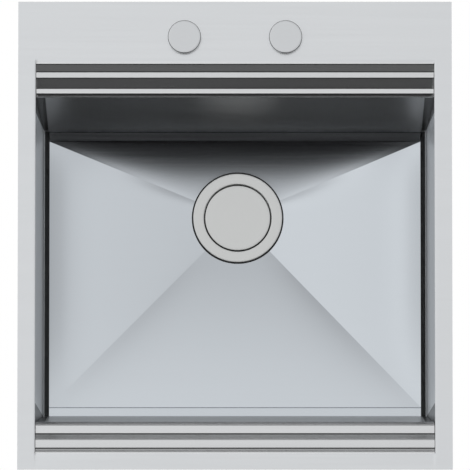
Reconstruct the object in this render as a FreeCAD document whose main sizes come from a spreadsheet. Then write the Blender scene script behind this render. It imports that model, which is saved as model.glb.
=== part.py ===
import FreeCAD, Part
import os
import Sketcher

# A top-mount kitchen sink in millimetres. Z = 0 is the top of the worktop, +Y points to the tap ledge
# at the back, and the origin lies under the middle of the deck.

doc = FreeCAD.newDocument("top_mount_sink")
sheet = doc.addObject("Spreadsheet::Sheet", "dim")

SIZES = {
    # Deck
    "deck_width": 480, "deck_depth": 520, "sheet_gauge": 1.2, "seal_thickness": 1.5,
    "side_border": 19, "front_border": 20, "rear_border": 70,
    "seal_inset": 3, "seal_width": 8,
    # Two-step ledges
    "step_one_drop": 7, "step_one_run": 6.6, "tread_one": 7.5,
    "step_two_drop": 8, "step_two_run": 8.8, "tread_two": 7.2, "lip_height": 4, "lip_run": 4.4,
    "ledge_end_gap": 0.4,
    # Bowl
    "bowl_depth": 200, "side_lean": 5.9, "rear_lean": 17.5, "front_lean": 22.6,
    "corner_run": 6, "corner_rise": 6, "floor_strip": 10, "floor_drop": 8,
    "pan_share": 0.15, "drain_offset_x": 3, "drain_offset_y": 42,
    "pad_thickness": 2.5, "pad_length": 220, "pad_height": 90, "pad_below_rim": 60,
    # Waste
    "flange_radius": 52, "flange_thickness": 2.5, "flange_gap": 0.6, "gasket_thickness": 1,
    "throat_radius": 42.5, "throat_length": 22, "plug_radius": 38.5, "plug_gap": 0.5, "plug_thickness": 3,
    "seat_depth": 8, "seat_bore": 36, "basket_radius": 35.2, "basket_depth": 28, "basket_wall": 1,
    "basket_hole_radius": 2.2, "basket_hole_circle": 24, "fit_gap": 0.3, "running_gap": 0.05,
    "chamber_wall": 3.5, "chamber_depth": 62, "collar_radius": 51, "collar_height": 12,
    "outlet_radius": 20, "outlet_wall": 2.5, "outlet_length": 92, "outlet_spigot": 35, "outlet_boss": 23,
    "outlet_rise": 26,
    "pin_radius": 3, "bush_radius": 8, "bush_below": 4, "bush_above": 6,
    "lift_radius": 16, "lift_height": 26, "lift_bore": 4.5, "lift_floor": 4, "pin_tail": 14,
    # Remote control
    "control_offset": 56, "tap_line": 40, "knob_radius": 18.25, "knob_top": 8, "knob_skirt_gap": 0.5,
    "knob_edge": 1, "knob_wall": 0.85, "bush_flange_radius": 17, "bush_flange": 2, "control_hole": 14,
    "control_stem": 13.5, "control_length": 40, "spindle_radius": 4, "spindle_tail": 12,
    "cam_radius": 9, "cam_height": 6, "housing_radius": 17, "housing_bore": 12, "housing_depth": 47,
    "housing_floor": 3, "follower_radius": 11.5, "follower_height": 8,
    "gland_radius": 6, "gland_length": 14, "gland_sunk": 3, "cable_radius": 3, "cable_bend": 70,
    "nut_radius": 22, "nut_height": 6,
    # Tap hole cover
    "tap_hole": 17.5, "stud_radius": 4, "stud_length": 45, "clamp_radius": 26, "clamp_thickness": 3,
    "wing_hub": 9, "wing_height": 8, "wing_span": 44, "wing_thickness": 3,
    # Fixing
    "overcut": 1, "stiffener_thickness": 3, "stiffener_width": 300, "stiffener_depth": 56,
    "worktop": 40, "clip_width": 16, "clip_gap": 0.4, "clip_plate": 1.5, "clip_drop": 30, "clip_foot": 7.4,
    "jaw_reach": 15, "jaw_thickness": 3, "screw_radius": 2, "screw_head": 3.2, "screw_head_height": 3,
    "screw_offset": 4.7, "screw_below": 9, "screw_above": 6, "clip_pitch_side": 170, "clip_pitch_end": 350,
}
for row, (alias, size) in enumerate(SIZES.items(), start=1):
    sheet.set(f"A{row}", str(size))
    sheet.setAlias(f"A{row}", alias)
doc.recompute()

finished = []


# Helpers: every size is a formula on the sheet

def bind(thing, **formulas):
    for name, formula in formulas.items():
        thing.setExpression(name.replace("__", "."), formula)


def keep(thing, label):
    thing.Label = label
    finished.append(thing)
    return thing


def box(name, x, y, z):
    block = doc.addObject("Part::Box", name)
    bind(block, Length=f"({x[1]}) - ({x[0]})", Width=f"({y[1]}) - ({y[0]})", Height=f"({z[1]}) - ({z[0]})")
    bind(block, Placement__Base__x=x[0], Placement__Base__y=y[0], Placement__Base__z=z[0])
    return block


def rod(name, radius, centre, z):
    bar = doc.addObject("Part::Cylinder", name)
    bind(bar, Radius=radius, Height=f"({z[1]}) - ({z[0]})")
    bind(bar, Placement__Base__x=centre[0], Placement__Base__y=centre[1], Placement__Base__z=z[0])
    return bar


def frustum(name, low, high, z):
    # A wedge's own Y axis is turned up to +Z, so its Z range is the negative of the Y range here.
    wedge = doc.addObject("Part::Wedge", name)
    wedge.Placement.Rotation = FreeCAD.Rotation(FreeCAD.Vector(1, 0, 0), 90)
    bind(wedge, Ymin=z[0], Ymax=z[1], Xmin=low[0], Xmax=low[1], X2min=high[0], X2max=high[1])
    bind(wedge, Zmin=f"-({low[3]})", Zmax=f"-({low[2]})", Z2min=f"-({high[3]})", Z2max=f"-({high[2]})")
    return wedge


def fuse(name, *pieces):
    joined = doc.addObject("Part::MultiFuse", name)
    joined.Shapes = list(pieces)
    joined.Refine = True
    return joined


def cut(name, base, *tools):
    rest = doc.addObject("Part::Cut", name)
    rest.Base = base
    rest.Tool = tools[0] if len(tools) == 1 else fuse(name + "_tools", *tools)
    return rest


def group(label, pieces):
    bundle = doc.addObject("Part::Compound", label)
    bundle.Links = list(pieces)
    return keep(bundle, label)


def outlined_body(label, role, points):
    # A closed outline whose every corner is held by two formulas.
    body = doc.addObject("PartDesign::Body", label)
    sketch = body.newObject("Sketcher::SketchObject", label + "_outline")
    plane = [feature for feature in body.Origin.OriginFeatures if feature.Role == role][0]
    sketch.AttachmentSupport = [(plane, "")]
    sketch.MapMode = "FlatFace"
    corners = [FreeCAD.Vector(*[sheet.evalExpression(f) for f in point], 0) for point in points]
    lines = [sketch.addGeometry(Part.LineSegment(a, b)) for a, b in zip(corners, corners[1:] + corners[:1])]
    for line, following in zip(lines, lines[1:] + lines[:1]):
        sketch.addConstraint(Sketcher.Constraint("Coincident", line, 2, following, 1))
    for line, corner, point in zip(lines, corners, points):
        across = ("DistanceX", -2, corner.x, point[0])
        upward = ("DistanceY", -1, corner.y, point[1])
        for kind, axis, value, formula in (across, upward):
            if formula == "0":
                sketch.addConstraint(Sketcher.Constraint("PointOnObject", line, 1, axis))
            else:
                held = sketch.addConstraint(Sketcher.Constraint(kind, -1, 1, line, 1, value))
                sketch.setExpression(f"Constraints[{held}]", formula)
    return body, sketch


def padded(label, points, length):
    body, sketch = outlined_body(label, "YZ_Plane", points)
    pad = body.newObject("PartDesign::Pad", label + "_pad")
    pad.Profile = sketch
    pad.Midplane = True
    bind(pad, Length=length)
    return body


def turned(label, centre, points):
    body, sketch = outlined_body(label, "XZ_Plane", points)
    turn = body.newObject("PartDesign::Revolution", label + "_turn")
    turn.Profile = sketch
    turn.ReferenceAxis = (sketch, ["V_Axis"])
    turn.Angle = 360
    bind(body, Placement__Base__x=centre[0], Placement__Base__y=centre[1])
    return body


def ring(label, centre, inner, outer, z):
    return turned(label, centre, [(inner, z[0]), (outer, z[0]), (outer, z[1]), (inner, z[1])])


# Levels and edges that several pieces share

DECK_BOTTOM = "dim.seal_thickness"
DECK_TOP = "(dim.seal_thickness + dim.sheet_gauge)"
DECK_X = "(dim.deck_width / 2)"
DECK_Y = "(dim.deck_depth / 2)"
OPEN_X = "(dim.deck_width / 2 - dim.side_border)"
OPEN_REAR = "(dim.deck_depth / 2 - dim.rear_border)"
OPEN_FRONT = "(dim.front_border - dim.deck_depth / 2)"
LEDGE_RUN = "(dim.step_one_run + dim.tread_one + dim.step_two_run + dim.tread_two)"
TOE_REAR = f"({OPEN_REAR} - {LEDGE_RUN} - dim.lip_run)"
TOE_FRONT = f"({OPEN_FRONT} + {LEDGE_RUN} + dim.lip_run)"
NOSE_Z = f"({DECK_TOP} - dim.step_one_drop - dim.step_two_drop)"
WALL_TOP = f"({NOSE_Z} - dim.sheet_gauge - dim.lip_height)"
FLOOR_Z = f"({DECK_TOP} - dim.bowl_depth)"
PAN_Z = f"({FLOOR_Z} - dim.floor_drop)"
FLOOR_X = f"({OPEN_X} - dim.side_lean - dim.corner_run)"
FLOOR_REAR = f"({TOE_REAR} - dim.rear_lean)"
FLOOR_FRONT = f"({TOE_FRONT} + dim.front_lean)"
CORNER_X = f"({OPEN_X} - dim.side_lean)"
CORNER_Z = f"({FLOOR_Z} + dim.corner_rise)"
CORNER_SHARE = f"(dim.corner_rise / ({WALL_TOP} - {FLOOR_Z}))"
CORNER_REAR = f"({FLOOR_REAR} + dim.rear_lean * {CORNER_SHARE})"
CORNER_FRONT = f"({FLOOR_FRONT} - dim.front_lean * {CORNER_SHARE})"
DRAIN = ("dim.drain_offset_x", "dim.drain_offset_y")
CONTROL = ("dim.control_offset", f"({DECK_Y} - dim.tap_line)")
TAP = ("-dim.control_offset", f"({DECK_Y} - dim.tap_line)")


def grown(rect, by):
    return (f"{rect[0]} - {by}", f"{rect[1]} + {by}", f"{rect[2]} - {by}", f"{rect[3]} + {by}")


WALL_TOP_RECT = (f"-{OPEN_X}", OPEN_X, TOE_FRONT, TOE_REAR)
CORNER_RECT = (f"-{CORNER_X}", CORNER_X, CORNER_FRONT, CORNER_REAR)
FLOOR_RECT = (f"-{FLOOR_X}", FLOOR_X, FLOOR_FRONT, FLOOR_REAR)

# Deck with its two holes and the flanges turned down along both sides of the bowl

deck_through = (f"{DECK_BOTTOM} - dim.overcut", f"{DECK_TOP} + dim.overcut")
plate = box("deck_plate", (f"-{DECK_X}", DECK_X), (f"-{DECK_Y}", DECK_Y), (DECK_BOTTOM, DECK_TOP))
mouth = box("deck_mouth", (f"-{OPEN_X}", OPEN_X), (OPEN_FRONT, OPEN_REAR), deck_through)
tap_hole = rod("deck_tap_hole", "dim.tap_hole", TAP, deck_through)
control_hole = rod("deck_control_hole", "dim.control_hole", CONTROL, deck_through)
flange_span = (OPEN_FRONT, OPEN_REAR)
flange_height = (WALL_TOP, DECK_TOP)
left_flange = box("left_flange", (f"-{OPEN_X} - dim.sheet_gauge", f"-{OPEN_X}"), flange_span, flange_height)
right_flange = box("right_flange", (OPEN_X, f"{OPEN_X} + dim.sheet_gauge"), flange_span, flange_height)
holed_plate = cut("holed_plate", plate, mouth, tap_hole, control_hole)
keep(fuse("deck", holed_plate, left_flange, right_flange), "deck")


# Ledges: one sheet folded into two sloping steps and a sloping lip, the same at the front and the back

def ledge(label, edge, sign):
    runs = ["0", "dim.step_one_run", "dim.step_one_run + dim.tread_one",
            f"{LEDGE_RUN} - dim.tread_two", LEDGE_RUN]
    drops = ["0", "dim.step_one_drop", "dim.step_one_drop",
             "dim.step_one_drop + dim.step_two_drop", "dim.step_one_drop + dim.step_two_drop"]
    top = [(f"{edge} {sign} ({run})", f"{DECK_TOP} - ({drop})") for run, drop in zip(runs, drops)]
    under = [(y, f"{z} - dim.sheet_gauge") for y, z in top[:-1]]
    toe = f"{edge} {sign} ({LEDGE_RUN} + dim.lip_run)"
    back_of_toe = f"{edge} {sign} ({LEDGE_RUN} + dim.lip_run - dim.sheet_gauge)"
    under_nose = f"{edge} {sign} ({LEDGE_RUN} - dim.sheet_gauge)"
    lip = [(toe, WALL_TOP), (back_of_toe, WALL_TOP), (under_nose, f"{NOSE_Z} - dim.sheet_gauge")]
    keep(padded(label, top + lip + under[::-1], f"2 * ({OPEN_X} - dim.ledge_end_gap)"), label)


ledge("rear_ledge", OPEN_REAR, "-")
ledge("front_ledge", OPEN_FRONT, "+")

# Bowl walls: a tube of sheet that narrows towards the floor, with a sloping corner along both sides

FLOOR_OUTSIDE = grown(FLOOR_RECT, "dim.sheet_gauge")
CORNER_OUTSIDE = grown(CORNER_RECT, "dim.sheet_gauge")
WALL_TOP_OUTSIDE = grown(WALL_TOP_RECT, "dim.sheet_gauge")
wall_span = (CORNER_Z, WALL_TOP)
corner_span = (FLOOR_Z, CORNER_Z)
wall_outside = frustum("wall_outside", CORNER_OUTSIDE, WALL_TOP_OUTSIDE, wall_span)
wall_inside = frustum("wall_inside", CORNER_RECT, WALL_TOP_RECT, wall_span)
corner_outside = frustum("corner_outside", FLOOR_OUTSIDE, CORNER_OUTSIDE, corner_span)
corner_inside = frustum("corner_inside", FLOOR_RECT, CORNER_RECT, corner_span)
wall_solid = fuse("wall_solid", wall_outside, corner_outside)
keep(cut("bowl_walls", wall_solid, wall_inside, corner_inside), "bowl_walls")

# Bowl floor: flat strips at front and back, and four planes that fold down to a round drain seat

PAN_RECT = (f"-{FLOOR_X}", FLOOR_X, f"{FLOOR_FRONT} + dim.floor_strip", f"{FLOOR_REAR} - dim.floor_strip")
PAN_LOW_RECT = tuple(f"({centre} + dim.pan_share * ({edge} - {centre}))"
                     for edge, centre in zip(PAN_RECT, (DRAIN[0], DRAIN[0], DRAIN[1], DRAIN[1])))
under_floor = f"({FLOOR_Z} - dim.sheet_gauge)"
floor_plate = box("floor_plate", FLOOR_OUTSIDE[:2], FLOOR_OUTSIDE[2:], (under_floor, FLOOR_Z))
pan_outside = frustum("pan_outside", grown(PAN_LOW_RECT, "dim.sheet_gauge"), grown(PAN_RECT, "dim.sheet_gauge"),
                      (f"{PAN_Z} - dim.sheet_gauge", under_floor))
pan_inside = frustum("pan_inside", PAN_LOW_RECT, PAN_RECT, (PAN_Z, FLOOR_Z))
seat_radius = "(dim.flange_radius + dim.flange_gap)"
UNDER_SEAT = f"({PAN_Z} - dim.sheet_gauge)"
seat_block = rod("seat_block", f"{seat_radius} + dim.sheet_gauge", DRAIN, (UNDER_SEAT, FLOOR_Z))
seat_recess = rod("seat_recess", seat_radius, DRAIN, (PAN_Z, f"{FLOOR_Z} + dim.overcut"))
drain_hole = rod("drain_hole", "dim.throat_radius + dim.flange_gap", DRAIN,
                 (f"{UNDER_SEAT} - dim.overcut", f"{FLOOR_Z} + dim.overcut"))
pressed_floor = fuse("pressed_floor", floor_plate, pan_outside, seat_block)
keep(cut("bowl_floor", pressed_floor, pan_inside, seat_recess, drain_hole), "bowl_floor")

# Sound pads glued to the outside of the four walls

pad_inside = frustum("pad_inside", CORNER_OUTSIDE, WALL_TOP_OUTSIDE, wall_span)
pad_face = "(dim.sheet_gauge + dim.pad_thickness)"
pad_outside = frustum("pad_outside", grown(CORNER_RECT, pad_face), grown(WALL_TOP_RECT, pad_face), wall_span)
pad_shell = cut("pad_shell", pad_outside, pad_inside)
pad_z = (f"{DECK_TOP} - dim.pad_below_rim - dim.pad_height", f"{DECK_TOP} - dim.pad_below_rim")
bowl_middle = f"(({FLOOR_FRONT} + {FLOOR_REAR}) / 2)"
side_pads = box("side_pads", (f"-{DECK_X}", DECK_X),
                (f"{bowl_middle} - dim.pad_length / 2", f"{bowl_middle} + dim.pad_length / 2"), pad_z)
end_pads = box("end_pads", ("-dim.pad_length / 2", "dim.pad_length / 2"), (f"-{DECK_Y}", DECK_Y), pad_z)
pads = doc.addObject("Part::MultiCommon", "sound_pads")
pads.Shapes = [pad_shell, fuse("pad_areas", side_pads, end_pads)]
keep(pads, "sound_pads")

# Waste: flange, gaskets, chamber with a side outlet

GASKET_TOP = f"({PAN_Z} + dim.gasket_thickness)"
RING_TOP = f"({GASKET_TOP} + dim.flange_thickness)"
SEAT_TOP = f"({RING_TOP} - dim.seat_depth)"
THROAT_END = f"({GASKET_TOP} - dim.throat_length)"
plug_bore = "(dim.plug_radius + dim.plug_gap)"
keep(turned("drain_flange", DRAIN, [
    (plug_bore, RING_TOP), ("dim.flange_radius", RING_TOP), ("dim.flange_radius", GASKET_TOP),
    ("dim.throat_radius", GASKET_TOP), ("dim.throat_radius", THROAT_END), ("dim.seat_bore", THROAT_END),
    ("dim.seat_bore", SEAT_TOP), (plug_bore, SEAT_TOP)]), "drain_flange")
keep(ring("drain_gasket", DRAIN, "dim.throat_radius + dim.flange_gap", "dim.flange_radius - dim.flange_gap",
          (PAN_Z, GASKET_TOP)), "drain_gasket")
CHAMBER_TOP = f"({UNDER_SEAT} - dim.gasket_thickness)"
CHAMBER_BOTTOM = f"({CHAMBER_TOP} - dim.chamber_depth)"
chamber_bore = "(dim.throat_radius + dim.fit_gap)"
keep(ring("chamber_gasket", DRAIN, chamber_bore, "dim.collar_radius - dim.flange_gap",
          (CHAMBER_TOP, UNDER_SEAT)), "chamber_gasket")
collar_z = (f"{CHAMBER_TOP} - dim.collar_height", CHAMBER_TOP)
room_z = (f"{CHAMBER_BOTTOM} + dim.chamber_wall", f"{CHAMBER_TOP} + dim.overcut")
chamber_collar = rod("chamber_collar", "dim.collar_radius", DRAIN, collar_z)
chamber_body = rod("chamber_body", f"{chamber_bore} + dim.chamber_wall", DRAIN, (CHAMBER_BOTTOM, CHAMBER_TOP))
chamber_room = rod("chamber_room", chamber_bore, DRAIN, room_z)
bush_hole = rod("bush_hole", "dim.bush_radius", DRAIN, (f"{CHAMBER_BOTTOM} - dim.overcut", CHAMBER_TOP))


def outlet_bar(name, radius, length):
    # A bar that leaves the drain's axis towards -X.
    bar = doc.addObject("Part::Cylinder", name)
    bar.Placement.Rotation = FreeCAD.Rotation(FreeCAD.Vector(0, 1, 0), -90)
    bind(bar, Radius=radius, Height=length)
    bind(bar, Placement__Base__x=DRAIN[0], Placement__Base__y=DRAIN[1],
         Placement__Base__z=f"{CHAMBER_BOTTOM} + dim.outlet_rise")
    return bar


outlet = outlet_bar("outlet", "dim.outlet_radius", "dim.outlet_length")
outlet_boss = outlet_bar("outlet_boss", "dim.outlet_boss", "dim.outlet_length - dim.outlet_spigot")
outlet_bore = outlet_bar("outlet_bore", "dim.outlet_radius - dim.outlet_wall",
                         "dim.outlet_length + dim.overcut")
chamber_solid = fuse("chamber_solid", chamber_collar, chamber_body, outlet, outlet_boss)
keep(cut("drain_chamber", chamber_solid, chamber_room, bush_hole, outlet_bore), "drain_chamber")

# Plug: cap, seal, strainer basket and the pin that lifts them

CAP_TOP = f"({RING_TOP} - dim.fit_gap)"
CAP_BOTTOM = f"({CAP_TOP} - dim.plug_thickness)"
keep(turned("plug_cap", DRAIN, [
    ("0", CAP_BOTTOM), ("dim.plug_radius", CAP_BOTTOM), ("dim.plug_radius", f"{CAP_TOP} - dim.fit_gap"),
    ("dim.plug_radius - dim.fit_gap", CAP_TOP), ("0", CAP_TOP)]), "plug_cap")
keep(ring("plug_seal", DRAIN, "dim.basket_radius + dim.fit_gap", "dim.plug_radius",
          (f"{SEAT_TOP} + dim.fit_gap", CAP_BOTTOM)), "plug_seal")
BASKET_BOTTOM = f"({CAP_BOTTOM} - dim.basket_depth)"
inside_basket = "(dim.basket_radius - dim.basket_wall)"
basket_cup = turned("basket_cup", DRAIN, [
    ("0", BASKET_BOTTOM), ("dim.basket_radius", BASKET_BOTTOM), ("dim.basket_radius", CAP_BOTTOM),
    (inside_basket, CAP_BOTTOM), (inside_basket, f"{BASKET_BOTTOM} + dim.basket_wall"),
    ("0", f"{BASKET_BOTTOM} + dim.basket_wall")])
BASKET_HOLES = 10
hole_z = (f"{BASKET_BOTTOM} - dim.overcut", f"{BASKET_BOTTOM} + dim.basket_wall + dim.overcut")
basket_holes = []
for hole in range(BASKET_HOLES):
    turn = 360 * hole / BASKET_HOLES
    spot = (f"{DRAIN[0]} + dim.basket_hole_circle * cos({turn} deg)",
            f"{DRAIN[1]} + dim.basket_hole_circle * sin({turn} deg)")
    basket_holes.append(rod(f"basket_hole_{hole}", "dim.basket_hole_radius", spot, hole_z))
keep(cut("strainer_basket", basket_cup, *basket_holes), "strainer_basket")
BUSH_BOTTOM = f"({CHAMBER_BOTTOM} - dim.bush_below)"
keep(rod("lift_pin", "dim.pin_radius", DRAIN, (f"{BUSH_BOTTOM} - dim.pin_tail", BASKET_BOTTOM)), "lift_pin")
keep(ring("pin_bush", DRAIN, "dim.pin_radius + dim.running_gap", "dim.bush_radius",
          (BUSH_BOTTOM, f"{CHAMBER_BOTTOM} + dim.bush_above")), "pin_bush")
LIFT_BOTTOM = f"({BUSH_BOTTOM} - dim.lift_height)"
keep(turned("lift_unit", DRAIN, [
    ("dim.lift_bore", BUSH_BOTTOM), ("dim.lift_radius", BUSH_BOTTOM), ("dim.lift_radius", LIFT_BOTTOM),
    ("0", LIFT_BOTTOM), ("0", f"{LIFT_BOTTOM} + dim.lift_floor"),
    ("dim.lift_bore", f"{LIFT_BOTTOM} + dim.lift_floor")]), "lift_unit")

# Remote control on the tap ledge

FLANGE_FOOT = f"({DECK_TOP} + dim.gasket_thickness)"
FLANGE_FACE = f"({FLANGE_FOOT} + dim.bush_flange)"
KNOB_BASE = f"({FLANGE_FACE} + dim.fit_gap)"
KNOB_SKIRT = f"({DECK_TOP} + dim.knob_skirt_gap)"
KNOB_TOP = f"({DECK_TOP} + dim.knob_top)"
STEM_END = f"({DECK_TOP} - dim.control_length)"
STIFFENER_BOTTOM = f"({DECK_BOTTOM} - dim.stiffener_thickness)"
knob_room = "(dim.knob_radius - dim.knob_wall)"
knob_edge = [("dim.knob_radius", f"{KNOB_TOP} - dim.knob_edge"),
             ("dim.knob_radius - dim.knob_edge", KNOB_TOP), ("0", KNOB_TOP)]
knob_inside = [("0", KNOB_BASE), (knob_room, KNOB_BASE),
               (knob_room, KNOB_SKIRT), ("dim.knob_radius", KNOB_SKIRT)]
keep(turned("control_knob", CONTROL, knob_inside + knob_edge), "control_knob")
keep(ring("knob_gasket", CONTROL, "dim.control_stem + dim.fit_gap", "dim.bush_flange_radius",
          (DECK_TOP, FLANGE_FOOT)), "knob_gasket")
spindle_bore = "(dim.spindle_radius + dim.running_gap)"
keep(turned("knob_bush", CONTROL, [
    (spindle_bore, FLANGE_FACE), ("dim.bush_flange_radius", FLANGE_FACE),
    ("dim.bush_flange_radius", FLANGE_FOOT), ("dim.control_stem", FLANGE_FOOT),
    ("dim.control_stem", STEM_END), (spindle_bore, STEM_END)]), "knob_bush")
SPINDLE_END = f"({STEM_END} - dim.spindle_tail)"
keep(rod("knob_spindle", "dim.spindle_radius", CONTROL, (SPINDLE_END, KNOB_BASE)), "knob_spindle")
CAM_BOTTOM = f"({SPINDLE_END} - dim.cam_height)"
keep(rod("knob_cam", "dim.cam_radius", CONTROL, (CAM_BOTTOM, SPINDLE_END)), "knob_cam")
FOLLOWER_TOP = f"({CAM_BOTTOM} - dim.fit_gap)"
keep(rod("cam_follower", "dim.follower_radius", CONTROL,
         (f"{FOLLOWER_TOP} - dim.follower_height", FOLLOWER_TOP)), "cam_follower")
HOUSING_BOTTOM = f"({STEM_END} - dim.housing_depth)"
keep(turned("cam_housing", CONTROL, [
    ("dim.housing_bore", STEM_END), ("dim.housing_radius", STEM_END), ("dim.housing_radius", HOUSING_BOTTOM),
    ("0", HOUSING_BOTTOM), ("0", f"{HOUSING_BOTTOM} + dim.housing_floor"),
    ("dim.housing_bore", f"{HOUSING_BOTTOM} + dim.housing_floor")]), "cam_housing")
GLAND_END = f"({HOUSING_BOTTOM} - dim.gland_length)"
keep(rod("upper_gland", "dim.gland_radius", CONTROL, (GLAND_END, HOUSING_BOTTOM)), "upper_gland")
hexagon = doc.addObject("Part::Prism", "hexagon")
hexagon.Polygon = 6
bind(hexagon, Circumradius="dim.nut_radius", Height="dim.nut_height", Placement__Base__x=CONTROL[0],
     Placement__Base__y=CONTROL[1], Placement__Base__z=f"{STIFFENER_BOTTOM} - dim.nut_height")
nut_bore = rod("nut_bore", "dim.control_stem + dim.fit_gap", CONTROL,
               (f"{STIFFENER_BOTTOM} - dim.nut_height - dim.overcut", f"{STIFFENER_BOTTOM} + dim.overcut"))
keep(cut("knob_nut", hexagon, nut_bore), "knob_nut")

# Cable from the lift unit to the control: level under the bowl, one bend, then straight up behind it.
# It is drawn with X pointing from the drain to the control, then turned about the drain's axis.

across = f"({CONTROL[0]} - {DRAIN[0]})"
along = f"({CONTROL[1]} - {DRAIN[1]})"
REACH = f"sqrt({across} ^ 2 + {along} ^ 2)"
CABLE_Z = f"({BUSH_BOTTOM} - dim.lift_height / 2)"
CABLE_START = "(dim.lift_radius - dim.gland_sunk + dim.gland_length)"


def level_rod(name, radius, start, end):
    bar = doc.addObject("Part::Cylinder", name)
    bar.Placement.Rotation = FreeCAD.Rotation(FreeCAD.Vector(0, 1, 0), 90)
    bind(bar, Radius=radius, Height=f"({end}) - ({start})")
    bind(bar, Placement__Base__x=start, Placement__Base__z=CABLE_Z)
    return bar


def face_control(piece):
    # The first turn only fixes the axis; the formula then gives the angle from the two centres.
    piece.Placement.Rotation = FreeCAD.Rotation(FreeCAD.Vector(0, 0, 1), 90)
    bind(piece, Placement__Base__x=DRAIN[0], Placement__Base__y=DRAIN[1],
         Placement__Rotation__Angle=f"atan2({along}; {across})")
    return piece


level_run = level_rod("level_run", "dim.cable_radius", CABLE_START, f"{REACH} - dim.cable_bend")
bend = doc.addObject("Part::Torus", "cable_bend_piece")
bend.Angle3 = 90
stand_up = FreeCAD.Rotation(FreeCAD.Vector(1, 0, 0), 90)
quarter_back = FreeCAD.Rotation(FreeCAD.Vector(0, 0, 1), -90)
bend.Placement.Rotation = stand_up * quarter_back
bind(bend, Radius1="dim.cable_bend", Radius2="dim.cable_radius", Placement__Base__x=f"{REACH} - dim.cable_bend",
     Placement__Base__z=f"{CABLE_Z} + dim.cable_bend")
upright_run = rod("upright_run", "dim.cable_radius", (REACH, "0"), (f"{CABLE_Z} + dim.cable_bend", GLAND_END))
keep(face_control(fuse("bowden_cable", level_run, bend, upright_run)), "bowden_cable")
gland = level_rod("gland_bar", "dim.gland_radius", "dim.lift_radius - dim.gland_sunk", CABLE_START)
face_control(group("lower_gland", [gland]))

# Cover of the tap hole

keep(turned("tap_hole_cap", TAP, [("0", DECK_TOP), ("dim.knob_radius", DECK_TOP)] + knob_edge), "tap_hole_cap")
keep(rod("cap_stud", "dim.stud_radius", TAP, (f"{DECK_TOP} - dim.stud_length", DECK_TOP)), "cap_stud")
stud_hole = "(dim.stud_radius + dim.fit_gap)"
CAP_GASKET_BOTTOM = f"({STIFFENER_BOTTOM} - dim.gasket_thickness)"
CLAMP_BOTTOM = f"({CAP_GASKET_BOTTOM} - dim.clamp_thickness)"
cap_gasket_z = (CAP_GASKET_BOTTOM, STIFFENER_BOTTOM)
clamp_z = (CLAMP_BOTTOM, CAP_GASKET_BOTTOM)
keep(ring("cap_gasket", TAP, stud_hole, "dim.clamp_radius", cap_gasket_z), "cap_gasket")
keep(ring("cap_clamp_plate", TAP, stud_hole, "dim.clamp_radius", clamp_z), "cap_clamp_plate")
wing_z = (f"{CLAMP_BOTTOM} - dim.wing_height", CLAMP_BOTTOM)
hub = rod("wing_hub_piece", "dim.wing_hub", TAP, wing_z)
wings = box("wings", (f"{TAP[0]} - dim.wing_span / 2", f"{TAP[0]} + dim.wing_span / 2"),
            (f"{TAP[1]} - dim.wing_thickness / 2", f"{TAP[1]} + dim.wing_thickness / 2"), wing_z)
wing_bore = rod("wing_bore", stud_hole, TAP, (f"{wing_z[0]} - dim.overcut", f"{wing_z[1]} + dim.overcut"))
keep(cut("cap_wing_nut", fuse("wing_nut_solid", hub, wings), wing_bore), "cap_wing_nut")

# Seal under the rim, stiffener under the tap ledge, and the clips that pull the deck down

seal_outside = box("seal_outside", (f"dim.seal_inset - {DECK_X}", f"{DECK_X} - dim.seal_inset"),
                   (f"dim.seal_inset - {DECK_Y}", f"{DECK_Y} - dim.seal_inset"), ("0", DECK_BOTTOM))
seal_edge = "(dim.seal_inset + dim.seal_width)"
seal_inside = box("seal_inside", (f"{seal_edge} - {DECK_X}", f"{DECK_X} - {seal_edge}"),
                  (f"{seal_edge} - {DECK_Y}", f"{DECK_Y} - {seal_edge}"),
                  ("-dim.overcut", f"{DECK_BOTTOM} + dim.overcut"))
keep(cut("rim_seal", seal_outside, seal_inside), "rim_seal")
stiffener_y = (f"{TAP[1]} - dim.stiffener_depth / 2", f"{TAP[1]} + dim.stiffener_depth / 2 - {seal_edge}")
stiffener_plate = box("stiffener_plate", ("-dim.stiffener_width / 2", "dim.stiffener_width / 2"),
                      stiffener_y, (STIFFENER_BOTTOM, DECK_BOTTOM))
through = (f"{STIFFENER_BOTTOM} - dim.overcut", f"{DECK_BOTTOM} + dim.overcut")
stiffener_holes = [rod("stiffener_tap_hole", "dim.tap_hole", TAP, through),
                   rod("stiffener_control_hole", "dim.control_hole", CONTROL, through)]
keep(cut("deck_stiffener", stiffener_plate, *stiffener_holes), "deck_stiffener")

SIDE_FACE = f"({OPEN_X} + dim.sheet_gauge)"
END_FACE = f"({DECK_Y} - dim.front_border)"
CLIPS = []
side_rows = (f"{bowl_middle} - dim.clip_pitch_side", bowl_middle, f"{bowl_middle} + dim.clip_pitch_side")
for row in side_rows:
    CLIPS.append((SIDE_FACE, row, 0))
    CLIPS.append((f"-{SIDE_FACE}", row, 180))
for offset in ("-dim.clip_pitch_end / 2", "dim.clip_pitch_end / 2"):
    CLIPS.append((offset, END_FACE, 90))
    CLIPS.append((offset, f"-{END_FACE}", 270))


def set_out(piece, clip):
    # Clips are drawn facing +X at the origin, then moved to their edge and turned outwards.
    x, y, turn = clip
    piece.Placement.Rotation = FreeCAD.Rotation(FreeCAD.Vector(0, 0, 1), turn)
    bind(piece, Placement__Base__x=x, Placement__Base__y=y)
    return piece


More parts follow.
